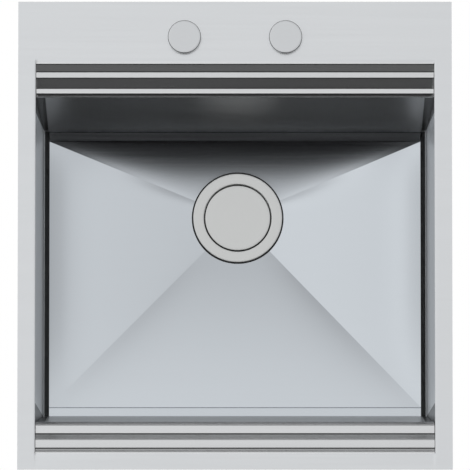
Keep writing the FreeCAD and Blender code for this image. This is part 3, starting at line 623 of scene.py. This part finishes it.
bmesh.ops.scale(pressing, verts=hole_edge, vec=(DRAIN_HOLE / SEAT_RADIUS, DRAIN_HOLE / SEAT_RADIUS, 1),
                space=Matrix.Translation(-drain * MM))
flat_strip = STRIP + GAUGE - 2 * GROOVE_HALF
strips = [  # the plane's edge, the way out along Y, and the run and rise of each step
    (pan_low.y, -1, ((GROOVE_HALF, -GROOVE_DEPTH), (GROOVE_HALF, GROOVE_DEPTH), (flat_strip, 0))),
    (pan_high.y, 1, ((2 * GROOVE_HALF, GROOVE_DEPTH), (flat_strip, REAR_STRIP_RISE))),
]
for line, way, steps in strips:
    border = open_edges(pressing, lambda spot: abs(spot.y - line) < NEAR)
    for run, rise in steps:
        verts, border = pull_edges(pressing, border)
        bmesh.ops.translate(pressing, verts=verts, vec=(0, way * run * MM, rise * MM))
thicken_down(pressing)
finish_piece("bowl_floor_pressing", pressing, bowl_steel, "sink", "bowl_steel", "bowl_floor",
             smooth_below=CRISP_BELOW)

# %% [markdown]
# The flange of the waste and its plug are turned from thick steel. Each one is outlined by a dark ring.
# Outside the flange that is the edge of its real rubber seal, whose lip is raised to stand up in the pressed
# seat so that its black also serves as painted shade round the flange. Round the plug it is the gap down to
# the plug's own seal. Each outline also gets a point two millimetres in from the edge, which keeps smooth
# shading off the flat face.

# %% Waste flange and plug
flange_low, flange_high = box_mm("drain_flange")
gasket_low, gasket_high = box_mm("drain_gasket")
cap_low, cap_high = box_mm("plug_cap")
plug_seal_low, plug_seal_high = box_mm("plug_seal")
FLANGE_RADIUS = 50.2
PLUG_RADIUS = 36.7
PLUG_SUNK = 0.8
PLUG_CORE = 35.6
SEAL_LIP = 37.7
SEAL_SHADE_RISE = 1.8
MOUTH = 38.2
MOUTH_DEPTH = 2.0
THROAT = 42.5
BORE = 39.0
SEAT_BORE = 36.0
SEAT_DEPTH = 8.0
FLAT_FROM_EDGE = 2.0
FREE = 0.05
flange_top = flange_high.z
mouth_low = flange_top - MOUTH_DEPTH
plug_rest = flange_top - SEAT_DEPTH
plug_top = cap_high.z - PLUG_SUNK
shade_lip_top = gasket_high.z + SEAL_SHADE_RISE
drain_spot = drain * MM
waste_ring = turned_piece([
    (MOUTH, flange_top, LIGHT_EDGE), (MOUTH + FLAT_FROM_EDGE, flange_top, 0),
    (FLANGE_RADIUS - FLAT_FROM_EDGE, flange_top, 0), (FLANGE_RADIUS, flange_top, LIGHT_EDGE),
    (FLANGE_RADIUS, gasket_high.z, 0), (THROAT, gasket_high.z, 0), (THROAT, flange_low.z, ROUND_EDGE),
    (SEAT_BORE, flange_low.z, ROUND_EDGE), (SEAT_BORE, plug_rest, ROUND_EDGE), (BORE, plug_rest, 0),
    (BORE, mouth_low, 0), (MOUTH, mouth_low, 0)], drain_spot)
finish_piece("waste_flange", waste_ring, waste_steel, "sink", "waste_steel", "drain_flange")
# the seal is real rubber, and its raised lip is also painted shade round the flange
flange_seal = turned_piece([
    (DRAIN_HOLE, gasket_low.z, 0), (SEAT_RADIUS - FREE, gasket_low.z, 0),
    (SEAT_RADIUS - FREE, shade_lip_top, FINE_EDGE), (FLANGE_RADIUS + FREE, shade_lip_top, FINE_EDGE),
    (FLANGE_RADIUS + FREE, gasket_high.z, 0), (DRAIN_HOLE, gasket_high.z, 0)], drain_spot)
finish_piece("flange_seal_ring", flange_seal, black_rubber, "sink", "rubber", "drain_gasket")
plug = turned_piece([
    (0, cap_low.z, 0), (PLUG_RADIUS, cap_low.z, SOFT_EDGE), (PLUG_RADIUS, plug_top, LIGHT_EDGE),
    (PLUG_RADIUS - FLAT_FROM_EDGE, plug_top, 0), (0, plug_top, 0)], drain_spot)
finish_piece("plug_disc", plug, waste_steel, "plug", "waste_steel", "plug_cap")
plug_seal = turned_piece([
    (PLUG_CORE, plug_seal_low.z, FINE_EDGE), (SEAL_LIP, plug_seal_low.z, ROUND_EDGE),
    (SEAL_LIP, plug_seal_high.z, SOFT_EDGE), (PLUG_CORE, plug_seal_high.z, 0)], drain_spot)
finish_piece("plug_seal_ring", plug_seal, black_rubber, "plug", "rubber", "plug_seal")

# %% [markdown]
# The two discs on the tap ledge are the same outside. The left one is solid and covers the tap hole. The
# right one is a hollow knob that turns over the flange of its bush. A thin dark line runs round each disc:
# a black ring of painted shade lies in a groove under its top plate, which is a little narrower than its side.

# %% Discs on the tap ledge
cover_low = box_mm("tap_hole_cap")[0]
knob_low, knob_high = box_mm("control_knob")
PLATE_INSET = 0.45
PLATE_THICK = 0.5
GROOVE_INSET = 1.5
GROOVE_TALL = 0.7
KNOB_WALL = 0.85
KNOB_HOLLOW = 3.3
disc_radius = (knob_high.x - knob_low.x) / 2
plate_radius = disc_radius - PLATE_INSET
groove_floor = disc_radius - GROOVE_INSET
groove_top = knob_high.z - PLATE_THICK
groove_low = groove_top - GROOVE_TALL
hollow_radius = disc_radius - KNOB_WALL
hollow_top = DECK_TOP + KNOB_HOLLOW
disc_edge = [
    (disc_radius, groove_low, THIN_EDGE), (groove_floor, groove_low, 0), (groove_floor, groove_top, 0),
    (plate_radius, groove_top, 0), (plate_radius, knob_high.z, FINE_EDGE),
    (plate_radius - FLAT_FROM_EDGE, knob_high.z, 0), (0, knob_high.z, 0)]
shade_ring_edge = [
    (groove_floor, groove_low, 0), (disc_radius, groove_low, THIN_EDGE), (disc_radius, groove_top, THIN_EDGE),
    (groove_floor, groove_top, 0)]
cover = turned_piece([(0, cover_low.z, 0), (disc_radius, cover_low.z, FINE_EDGE)] + disc_edge, tap_spot * MM)
finish_piece("tap_hole_cover", cover, cap_steel, "sink", "control_steel", "tap_hole_cap")
knob = turned_piece([
    (0, hollow_top, 0), (hollow_radius, hollow_top, 0), (hollow_radius, knob_low.z, THIN_EDGE),
    (disc_radius, knob_low.z, THIN_EDGE)] + disc_edge, control_spot * MM)
finish_piece("waste_knob", knob, knob_steel, "knob", "control_steel", "control_knob")
# black rings of painted shade round the two discs
for name, body, spot in (("cover_shade_ring", "sink", tap_spot), ("knob_shade_ring", "knob", control_spot)):
    finish_piece(name, turned_piece(shade_ring_edge, spot * MM), black_rubber, body, "rubber")

# %% [markdown]
# Threads show on the stud, the bush and the clip screws. A thread is a small triangle swept round the axis
# while it climbs, which spin does when each step also moves up. The triangle is sunk a little into the
# core.

# %% Threads
THREAD_STEPS = 20
TOOTH_DEPTHS = 1.3
TOOTH_HALF = 0.45
THREAD_START = 1.0
STUD = 4.0
STUD_CORE = 3.4
STUD_PITCH = 1.25
STUD_PLAIN = 6.0
STUD_STEPS = 32
BUSH_FLANGE = 17.0
BUSH_FLANGE_TALL = 2.0
BUSH_BORE = 4.05
STEM = 13.5
STEM_ROOT = 12.8
STEM_PITCH = 1.5
STEM_PLAIN = 4.0


def add_thread(mesh, core, radius, pitch, low, high, centre):
    turns = max(1, int((high - low) / pitch) - 1)
    root = radius - (radius - core) * TOOTH_DEPTHS
    outline = [(root, -pitch * TOOTH_HALF), (radius, 0), (root, pitch * TOOTH_HALF)]
    start = [mesh.verts.new(Vector((centre.x + r, centre.y, low + pitch / 2 + z)) * MM) for r, z in outline]
    tooth = mesh.faces.new(start)
    rise = Vector((0, 0, pitch / THREAD_STEPS * MM))
    bmesh.ops.spin(mesh, geom=[tooth, *tooth.edges, *tooth.verts], cent=centre * MM, axis=(0, 0, 1), dvec=rise,
                   angle=math.tau * turns, steps=THREAD_STEPS * turns)


stud_low, stud_high = box_mm("cap_stud")
stud = turned_piece([(0, stud_low.z, 0), (STUD_CORE, stud_low.z, ROUND_EDGE), (STUD_CORE, stud_high.z, 0),
                     (0, stud_high.z, 0)], tap_spot * MM, STUD_STEPS)
add_thread(stud, STUD_CORE, STUD, STUD_PITCH, stud_low.z + THREAD_START, stud_high.z - STUD_PLAIN, tap_spot)
finish_piece("threaded_stud", stud, zinc_plate, "sink", "plated_steel", "cap_stud")

bush_low, bush_high = box_mm("knob_bush")
bush_shoulder = bush_high.z - BUSH_FLANGE_TALL
bush = turned_piece([
    (BUSH_BORE, bush_high.z, FINE_EDGE), (BUSH_FLANGE, bush_high.z, LIGHT_EDGE),
    (BUSH_FLANGE, bush_shoulder, THIN_EDGE), (STEM_ROOT, bush_shoulder, 0),
    (STEM_ROOT, bush_low.z, ROUND_EDGE), (BUSH_BORE, bush_low.z, FINE_EDGE)], control_spot * MM)
add_thread(bush, STEM_ROOT, STEM, STEM_PITCH, bush_low.z + THREAD_START, bush_high.z - STEM_PLAIN, control_spot)
finish_piece("threaded_bush", bush, bush_brass, "sink", "bush_brass", "knob_bush")

# %% [markdown]
# Ten clips pull the deck down onto the worktop. Each has a screw with a round slotted head. One screw is
# turned, two planes cut its head where the slot goes and the strip between them is pushed in. After it is
# threaded, it is copied to the ten places.

# %% Clip screws
screws_low, screws_high = box_mm("clip_screws")
CLIP_TO_SCREW = 4.7
CLIP_FROM_EDGE = 20.0
CLIP_ROW = 170.0
CLIP_HALF = 175.0
HEAD = 3.2
HEAD_HEIGHT = 3.0
HEAD_EDGE = 0.9
HEAD_SKIN = 1.0
SLOT_HALF = 0.45
SLOT_DEPTH = 1.2
SCREW = 2.0
SCREW_CORE = 1.6
SCREW_PITCH = 0.8
SCREW_PLAIN = 1.0
SCREW_STEPS = 24
head_top = screws_low.z + HEAD_HEIGHT
origin = Vector((0, 0, 0))


def on_slot(face):
    spot = face.calc_center_median() / MM
    return abs(spot.y) < SLOT_HALF and spot.z < screws_low.z + HEAD_SKIN


screw = turned_piece([
    (0, screws_low.z, 0), (HEAD, screws_low.z, HEAD_EDGE), (HEAD, head_top, FINE_EDGE),
    (SCREW_CORE, head_top, 0), (SCREW_CORE, screws_high.z, SOFT_EDGE), (0, screws_high.z, 0)],
    origin, SCREW_STEPS)
for side in (-1, 1):
    bmesh.ops.bisect_plane(screw, geom=whole(screw), plane_co=(0, side * SLOT_HALF * MM, 0), plane_no=(0, 1, 0))
slot_faces = [face for face in screw.faces if on_slot(face)]
slot_floor = bmesh.ops.extrude_face_region(screw, geom=slot_faces)["geom"]
bmesh.ops.delete(screw, geom=slot_faces, context="FACES_ONLY")
for vert in of_kind(slot_floor, bmesh.types.BMVert):
    vert.co.z = (screws_low.z + SLOT_DEPTH) * MM
add_thread(screw, SCREW_CORE, SCREW, SCREW_PITCH, head_top + THREAD_START, screws_high.z - SCREW_PLAIN, origin)
one_screw = kept_mesh("one_screw", screw)
bowl_middle = (floor_low.y + floor_high.y) / 2
screw_x = OPEN_X + GAUGE + CLIP_TO_SCREW
screw_y = deck_high.y - CLIP_FROM_EDGE + CLIP_TO_SCREW
screw_spots = [(side * screw_x, bowl_middle + row * CLIP_ROW) for side in (-1, 1) for row in (-1, 0, 1)]
screw_spots += [(side * CLIP_HALF, end * screw_y) for side in (-1, 1) for end in (-1, 1)]
screws = bmesh.new()
for x, y in screw_spots:
    earlier = len(screws.verts)
    screws.from_mesh(one_screw)
    screws.verts.ensure_lookup_table()
    bmesh.ops.translate(screws, verts=screws.verts[earlier:], vec=Vector((x, y, 0)) * MM)
bpy.data.meshes.remove(one_screw)
finish_piece("threaded_clip_screws", screws, zinc_plate, "sink", "plated_steel", "clip_screws")

# %% [markdown]
# The collar that screws the waste chamber up to the bowl has grip ribs for wet hands, and so have the
# control's housing and the lift unit. One rib is a block with rounded corners, and spin copies it round the
# axis.

# %% Grip ribs
RIB_SUNK = 0.5
RIB_EDGE_SHARE = 0.4
COLLAR_TALL = 11.5
COLLAR_PLAIN = 0.8
HOUSING_PLAIN = 4.0
LIFT_PLAIN = 1.5
LIFT_RIB_TOP = 8.0
chamber_low, chamber_high = box_mm("drain_chamber")
housing_low, housing_high = box_mm("cam_housing")
lift_low = box_mm("lift_unit")[0]


def grip_ribs(name, centre, radius, depth, width, low, high, count, finish, slot):
    ribs = bmesh.new()
    bmesh.ops.create_cube(ribs, size=1.0)
    bmesh.ops.scale(ribs, verts=ribs.verts[:], vec=Vector((depth + RIB_SUNK, width, high - low)) * MM)
    round_edges(ribs, ribs.edges[:], RIB_EDGE_SHARE * depth)
    first = Vector((centre.x + radius + (depth - RIB_SUNK) / 2, centre.y, (low + high) / 2))
    bmesh.ops.translate(ribs, verts=ribs.verts[:], vec=first * MM)
    bmesh.ops.spin(ribs, geom=whole(ribs), cent=centre * MM, axis=(0, 0, 1), dvec=(0, 0, 0),
                   angle=math.tau * (count - 1) / count, steps=count - 1, use_duplicate=True)
    finish_piece(name, ribs, finish, "sink", slot)


grip_ribs("chamber_collar_ribs", drain, radius=51, depth=1.4, width=5, low=chamber_high.z - COLLAR_TALL,
          high=chamber_high.z - COLLAR_PLAIN, count=24, finish=grey_plastic, slot="waste_plastic")
grip_ribs("control_housing_ribs", control_spot, radius=17, depth=0.9, width=2,
          low=housing_low.z + HOUSING_PLAIN, high=housing_high.z - HOUSING_PLAIN, count=18,
          finish=black_plastic, slot="control_plastic")
grip_ribs("lift_unit_ribs", drain, radius=16, depth=0.8, width=2.4, low=lift_low.z + LIFT_PLAIN,
          high=lift_low.z + LIFT_RIB_TOP, count=16, finish=grey_plastic, slot="waste_plastic")

# %% [markdown]
# The nut under the control is a hexagon with broken corners and a round bore. A ring of six corners is
# divided and bridged to a circle, and the flat ring that this gives is pulled up to the nut's height.

# %% Control nut
nut_low, nut_high = box_mm("knob_nut")
NUT_SIDES = 6
NUT_BORE = 13.8
NUT_CUTS = 7
NUT_EDGE = 0.7
NUT_SHARP = math.radians(40)
nut_radius = (nut_high.x - nut_low.x) / 2
quarter_turn = Matrix.Rotation(math.radians(90), 4, "Z")
nut = bmesh.new()
bmesh.ops.create_circle(nut, segments=NUT_SIDES, radius=nut_radius * MM, matrix=quarter_turn)
bmesh.ops.subdivide_edges(nut, edges=nut.edges[:], cuts=NUT_CUTS)
hexagon = nut.edges[:]
bore = bmesh.ops.create_circle(nut, segments=NUT_SIDES * (NUT_CUTS + 1), radius=NUT_BORE * MM,
                               matrix=quarter_turn)["verts"]
bmesh.ops.bridge_loops(nut, edges=hexagon + ring_edges(bore))
pull_faces(nut, nut.faces[:], (0, 0, (nut_high.z - nut_low.z) * MM))
bmesh.ops.recalc_face_normals(nut, faces=nut.faces[:])
arrises = [edge for edge in nut.edges if len(edge.link_faces) == 2 and edge.calc_face_angle() > NUT_SHARP]
round_edges(nut, arrises, NUT_EDGE)
bmesh.ops.translate(nut, verts=nut.verts[:], vec=Vector((control_spot.x, control_spot.y, nut_low.z)) * MM)
finish_piece("chamfered_control_nut", nut, black_plastic, "sink", "control_plastic", "knob_nut")

# %% [markdown]
# The wing nut under the tap hole cover is cast: a round hub with a bore, and two wings that flare down and
# out. A wing is a rounded outline pulled to its thickness, and a half turn of spin copies it to the other
# side.

# %% Wing nut
wing_low, wing_high = box_mm("cap_wing_nut")
HUB = 9.0
HUB_BORE = 4.2
HUB_TAPER = 1.2
HUB_STEPS = 40
WING_HALF = 1.5
WING_SUNK = 2.0
WING_CLEAR = 1.5
WING_SHOULDER = 6.0
WING_FALL = 2.2
WING_FOOT = 4.0
WING_TIP = 3.4
WING_ROUND = 2.5
TIP_ROUND = 1.6
wing_reach = (wing_high.x - wing_low.x) / 2
wing = [  # distance from the axis, z and corner radius
    (HUB - WING_SUNK, wing_high.z - WING_CLEAR, 0), (HUB + WING_SHOULDER, wing_high.z - WING_FALL, WING_ROUND),
    (wing_reach, wing_low.z + WING_TIP, TIP_ROUND), (wing_reach, wing_low.z, TIP_ROUND),
    (HUB + WING_FOOT, wing_low.z, WING_ROUND), (HUB - WING_SUNK, wing_low.z + WING_CLEAR, 0)]
wing_nut = bmesh.new()
rounded_outline(wing_nut, [(x, -WING_HALF, z) for x, z, _ in wing], [radius for *_, radius in wing])
pull_faces(wing_nut, wing_nut.faces[:], (0, 2 * WING_HALF * MM, 0))
bmesh.ops.recalc_face_normals(wing_nut, faces=wing_nut.faces[:])
bmesh.ops.spin(wing_nut, geom=whole(wing_nut), cent=(0, 0, 0), axis=(0, 0, 1), dvec=(0, 0, 0), angle=math.pi,
               steps=1, use_duplicate=True)
bmesh.ops.translate(wing_nut, verts=wing_nut.verts[:], vec=Vector((tap_spot.x, tap_spot.y, 0)) * MM)
hub = turned_piece([
    (HUB_BORE, wing_high.z, SOFT_EDGE), (HUB, wing_high.z, ROUND_EDGE),
    (HUB - HUB_TAPER, wing_low.z, HUB_TAPER), (HUB_BORE, wing_low.z, SOFT_EDGE)], tap_spot * MM, HUB_STEPS)
hub_mesh = kept_mesh("wing_nut_hub", hub)
wing_nut.from_mesh(hub_mesh)
bpy.data.meshes.remove(hub_mesh)
finish_piece("cast_wing_nut", wing_nut, zinc_plate, "sink", "plated_steel", "cap_wing_nut")

# %% [markdown]
# The sound pads are rolled bitumen with a raised grid, glued flat on the leaning walls. Each wall gets one
# grid, turned to its own lean. Then every face is inset and raised, and the sheet gets its thickness.

# %% Sound pads
pads_low, pads_high = box_mm("sound_pads")
PAD_LENGTH = 220.0
PAD_RAISE = 0.8
PAD_INSET = 2.2
PAD_BACK = 1.7
PAD_COLUMNS = 11
PAD_ROWS = 5
SIDE_FOOT_OUT = 6.0
SIDE_FOOT_RISE = 6.0
UP = Vector((0, 0, 1))
wall_top = walls_high.z
side_foot = floor_high.x + SIDE_FOOT_OUT
pad_z = (pads_low.z + pads_high.z) / 2
side_middle = Vector((0, bowl_middle, 0))
# outward way, its place at the wall's top and foot, the foot's height, and the middle along the wall
walls_at = [
    (Vector((1, 0, 0)), walls_high.x, side_foot, SIDE_FOOT_RISE, side_middle),
    (Vector((-1, 0, 0)), walls_high.x, side_foot, SIDE_FOOT_RISE, side_middle),
    (Vector((0, 1, 0)), walls_high.y, floor_high.y, 0.0, origin),
    (Vector((0, -1, 0)), -walls_low.y, -floor_low.y, 0.0, origin),
]
pads = bmesh.new()
for outward, top_at, foot_at, foot_rise, wall_middle in walls_at:
    earlier = len(pads.verts)
    bmesh.ops.create_grid(pads, x_segments=PAD_COLUMNS, y_segments=PAD_ROWS, size=0.5)
    pads.verts.ensure_lookup_table()
    fresh = pads.verts[earlier:]
    foot_z = FLOOR_TOP + foot_rise
    lean = (top_at - foot_at) / (wall_top - foot_z)
    up_wall = UP + outward * lean
    along_wall = UP.cross(outward)
    face_out = along_wall.cross(up_wall).normalized()
    pad_middle = wall_middle + outward * (foot_at + lean * (pad_z - foot_z)) + UP * pad_z + face_out * PAD_BACK
    turn = Matrix((along_wall, up_wall, face_out)).transposed().to_4x4()
    sized = Matrix.Diagonal((PAD_LENGTH * MM, (pads_high.z - pads_low.z) * MM, 1, 1))
    bmesh.ops.transform(pads, matrix=Matrix.Translation(pad_middle * MM) @ turn @ sized, verts=fresh)
    squares = list({face for vert in fresh for face in vert.link_faces})
    bmesh.ops.recalc_face_normals(pads, faces=squares)
    if squares[0].normal.dot(outward) < 0:
        bmesh.ops.reverse_faces(pads, faces=squares)
bmesh.ops.inset_individual(pads, faces=pads.faces[:], thickness=PAD_INSET * MM, depth=PAD_RAISE * MM)
bmesh.ops.solidify(pads, geom=pads.faces[:], thickness=PAD_BACK * MM)
finish_piece("embossed_sound_pads", pads, bitumen, "sink", "sound_pad", "sound_pads")

# %% [markdown]
# At both ends the cable enters a gland with a ribbed, tapering boot that keeps it from kinking. The boot is
# turned. The upper one is then turned over, and the lower one is laid to point from the lift unit to the
# control.

# %% Cable glands
GLAND_LENGTH = 14.0
GLAND = 6.0
GLAND_COLLAR = 4.0
GLAND_FROM_AXIS = 13.0
CABLE = 3.0
BOOT_WALL = 0.5
BOOT_RIBS = 4
BOOT_PITCH = 2.3
BOOT_STEPS = 32
# radius of the first valley or ridge, how much each next one shrinks, and where it starts and ends in its pitch
VALLEY = (4.6, 0.25, (0.2, 1.0))
RIDGE = (5.6, 0.45, (1.2, 2.2))


def gland_boot():
    # drawn along +Z: its seat is at zero and the cable leaves at the far end
    boot = [(CABLE, 0, 0), (GLAND, 0, SOFT_EDGE), (GLAND, GLAND_COLLAR, SOFT_EDGE)]
    for rib in range(BOOT_RIBS):
        for (radius, shrink, span), edge in ((VALLEY, 0), (RIDGE, THIN_EDGE)):
            boot += [(radius - rib * shrink, GLAND_COLLAR + rib * BOOT_PITCH + z, edge) for z in span]
    boot += [(CABLE + BOOT_WALL, GLAND_LENGTH, THIN_EDGE), (CABLE, GLAND_LENGTH, 0)]
    return turned_piece(boot, origin, BOOT_STEPS)


upper = gland_boot()
upper_seat = Vector((control_spot.x, control_spot.y, box_mm("upper_gland")[1].z))
bmesh.ops.transform(upper, verts=upper.verts[:],
                    matrix=Matrix.Translation(upper_seat * MM) @ Matrix.Rotation(math.pi, 4, "X"))
finish_piece("upper_cable_boot", upper, black_plastic, "sink", "control_plastic", "upper_gland")
lower = gland_boot()
lower_low, lower_high = box_mm("lower_gland")
heading = Vector((control_spot.x - drain.x, control_spot.y - drain.y, 0)).normalized()
lower_seat = Vector((drain.x, drain.y, (lower_low.z + lower_high.z) / 2)) + heading * GLAND_FROM_AXIS
bmesh.ops.transform(lower, verts=lower.verts[:], matrix=Matrix.Translation(lower_seat * MM)
                    @ heading.to_track_quat("Z", "Y").to_matrix().to_4x4())
finish_piece("lower_cable_boot", lower, grey_plastic, "sink", "waste_plastic", "lower_gland")

# %% [markdown]
# Where the outlet leaves the chamber it has a moulded bead, which stops the nut of the waste pipe.

# %% Outlet bead
OUTLET_WALL = 23.0
STOP_SUNK = 0.6
STOP_TALL = 1.5
STOP_WIDE = 5.0
STOP_EDGE = 1.0
STOP_STEPS = 64
STOP_FROM_END = 35.0
OUTLET_AXIS = 26.0
stop_foot = OUTLET_WALL - STOP_SUNK
stop_top = OUTLET_WALL + STOP_TALL
stop = turned_piece([(stop_foot, 0, 0), (stop_top, 0, STOP_EDGE), (stop_top, STOP_WIDE, STOP_EDGE),
                     (stop_foot, STOP_WIDE, 0)], origin, STOP_STEPS)
stop_at = Vector((chamber_low.x + STOP_FROM_END, drain.y, chamber_low.z + OUTLET_AXIS))
bmesh.ops.transform(stop, verts=stop.verts[:],
                    matrix=Matrix.Translation(stop_at * MM) @ Matrix.Rotation(math.radians(90), 4, "Y"))
finish_piece("outlet_bead", stop, grey_plastic, "sink", "waste_plastic")

# %% [markdown]
# The stage is a white floor just under the sink. It looks white to the camera and a dimmer white in the
# metal. Other light falls on it as on paper.

# %% Floor
FLOOR_SIZE = 8.0
FLOOR_GAP = 0.5 * MM
MIRRORED_WHITE = 0.55
floor_mesh = bmesh.new()
bmesh.ops.create_grid(floor_mesh, x_segments=1, y_segments=1, size=FLOOR_SIZE / 2)
bmesh.ops.translate(floor_mesh, verts=floor_mesh.verts[:], vec=(0, 0, cad_low.z - FLOOR_GAP))
floor_data = kept_mesh("floor", floor_mesh)
floor = bpy.data.objects.new("floor", floor_data)
bpy.context.collection.objects.link(floor)

paper, tree = new_material("white_floor")
lit = put(tree, "ShaderNodeBsdfDiffuse", {"Color": linear("#F2F2F2")})
rays = put(tree, "ShaderNodeLightPath")
level = put(tree, "ShaderNodeMapRange", {
    "Value": rays.outputs["Is Camera Ray"], "To Min": MIRRORED_WHITE, "To Max": 1.0})
white = put(tree, "ShaderNodeEmission", {"Color": (1, 1, 1, 1), "Strength": level.outputs["Result"]})
mirrored = put(tree, "ShaderNodeMath", {
    0: rays.outputs["Is Glossy Ray"], 1: rays.outputs["Is Transmission Ray"]}, operation="MAXIMUM")
shown = put(tree, "ShaderNodeMath", {
    0: rays.outputs["Is Camera Ray"], 1: mirrored.outputs["Value"]}, operation="MAXIMUM")
seen = put(tree, "ShaderNodeMixShader", {
    0: shown.outputs["Value"], 1: lit.outputs["BSDF"], 2: white.outputs["Emission"]})
put(tree, "ShaderNodeOutputMaterial", {"Surface": seen.outputs["Shader"]})
floor_data.materials.append(paper)
print("floor:", FLOOR_SIZE, "m square")

# %% [markdown]
# Steel shows its surroundings more than itself. In the picture the deck and the floor are bright while the
# rear wall is almost black. The world is painted that way by direction: a ceiling that grades from dark in
# front to bright over the middle and dimmer behind, a dark screen low in front, and a plain pale room on
# the other sides, which lights the outside of the bowl. The light is a little stronger on the left.

# %% World
# how far back a direction points, from -1 in front to 1 behind, and the ceiling's strength there
CEILING = [(-0.25, 0.0), (-0.20, 0.008), (-0.165, 0.04), (-0.126, 0.14), (-0.09, 0.36), (-0.054, 0.62),
           (0.04, 0.98), (0.15, 1.13), (0.24, 0.76), (0.32, 0.56), (0.45, 0.36), (0.60, 0.30)]
CEILING_FROM = (0.25, 0.65)
SCREEN = 0.13
SCREEN_EDGES = (0.08, 0.27)
SCREEN_TO_ROOM = (-0.2, 0.2)
PALE_ROOM = 0.65
LEFT_REACH = 0.15
LEFT_GAIN = 0.14
ROOM_TINT = (0.97, 0.985, 1.0, 1)
world = bpy.data.worlds.new("studio")
bpy.context.scene.world = world
world.use_nodes = True
sky = world.node_tree
sky.nodes.clear()
direction = put(sky, "ShaderNodeTexCoord")
ways = put(sky, "ShaderNodeSeparateXYZ", {"Vector": direction.outputs["Generated"]})
backward = put(sky, "ShaderNodeMapRange", {"Value": ways.outputs["Y"], "From Min": -1.0, "From Max": 1.0})
ceiling = put(sky, "ShaderNodeValToRGB", {"Fac": backward.outputs["Result"]})
stops = ceiling.color_ramp.elements
while len(stops) < len(CEILING):
    stops.new(0.5)
for ramp_stop, (toward_back, strength) in zip(stops, CEILING):
    ramp_stop.position = (toward_back + 1) / 2
    ramp_stop.color = (strength, strength, strength, 1)
overhead = put(sky, "ShaderNodeMapRange", {
    "Value": ways.outputs["Z"], "From Min": CEILING_FROM[0], "From Max": CEILING_FROM[1]},
    interpolation_type="SMOOTHSTEP")
low_room = put(sky, "ShaderNodeMapRange", {
    "Value": ways.outputs["Y"], "From Min": SCREEN_TO_ROOM[0], "From Max": SCREEN_TO_ROOM[1],
    "To Min": SCREEN, "To Max": PALE_ROOM})
middle_band = put(sky, "ShaderNodeMix", {
    "Factor": overhead.outputs["Result"], "A": low_room.outputs["Result"], "B": ceiling.outputs["Color"]})
sideways = put(sky, "ShaderNodeMath", {0: ways.outputs["X"]}, operation="ABSOLUTE")
beyond = put(sky, "ShaderNodeMapRange", {
    "Value": sideways.outputs["Value"], "From Min": SCREEN_EDGES[0], "From Max": SCREEN_EDGES[1]},
    interpolation_type="SMOOTHSTEP")
glow = put(sky, "ShaderNodeMix", {
    "Factor": beyond.outputs["Result"], "A": middle_band.outputs["Result"], "B": PALE_ROOM})
left_bias = put(sky, "ShaderNodeMapRange", {
    "Value": ways.outputs["X"], "From Min": -LEFT_REACH, "From Max": LEFT_REACH,
    "To Min": 1 + LEFT_GAIN, "To Max": 1 - LEFT_GAIN})
biased = put(sky, "ShaderNodeMath", {
    0: glow.outputs["Result"], 1: left_bias.outputs["Result"]}, operation="MULTIPLY")
room = put(sky, "ShaderNodeBackground", {"Color": ROOM_TINT, "Strength": biased.outputs["Value"]})
backdrop = put(sky, "ShaderNodeBackground", {"Color": (1, 1, 1, 1), "Strength": 1.0})
sight = put(sky, "ShaderNodeLightPath")
view = put(sky, "ShaderNodeMixShader", {
    0: sight.outputs["Is Camera Ray"], 1: room.outputs["Background"], 2: backdrop.outputs["Background"]})
put(sky, "ShaderNodeOutputWorld", {"Surface": view.outputs["Shader"]})
print("world: ceiling strengths", CEILING)

# %% [markdown]
# The picture looks down on the sink from the front, a few degrees off the vertical, from far away with a
# long lens, so the deck stays almost a true rectangle.

# %% Camera
VIEW_TILT = math.radians(6.3)
VIEW_DISTANCE = 10.0
VIEW_END = 50.0
SENSOR = 36.0
PHOTO_SIDE = 470
DECK_WIDTH_IN_PHOTO = 434.5
plate_low, plate_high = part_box("deck")
deck_middle = Vector(((plate_low[0] + plate_high[0]) / 2, (plate_low[1] + plate_high[1]) / 2, plate_high[2]))
deck_width = plate_high[0] - plate_low[0]
camera_data = bpy.data.cameras.new("camera")
camera_data.sensor_width = SENSOR
camera_data.lens = SENSOR * VIEW_DISTANCE * DECK_WIDTH_IN_PHOTO / PHOTO_SIDE / deck_width
camera_data.clip_end = VIEW_END
camera = bpy.data.objects.new("camera", camera_data)
back = Vector((0, -math.sin(VIEW_TILT), math.cos(VIEW_TILT)))
camera.location = deck_middle + back * VIEW_DISTANCE
camera.rotation_euler = (-back).to_track_quat("-Z", "Y").to_euler()
bpy.context.collection.objects.link(camera)
bpy.context.scene.camera = camera
bpy.context.scene.view_settings.view_transform = "Standard"
print("camera:", round(camera_data.lens), "mm lens at", VIEW_DISTANCE, "m")
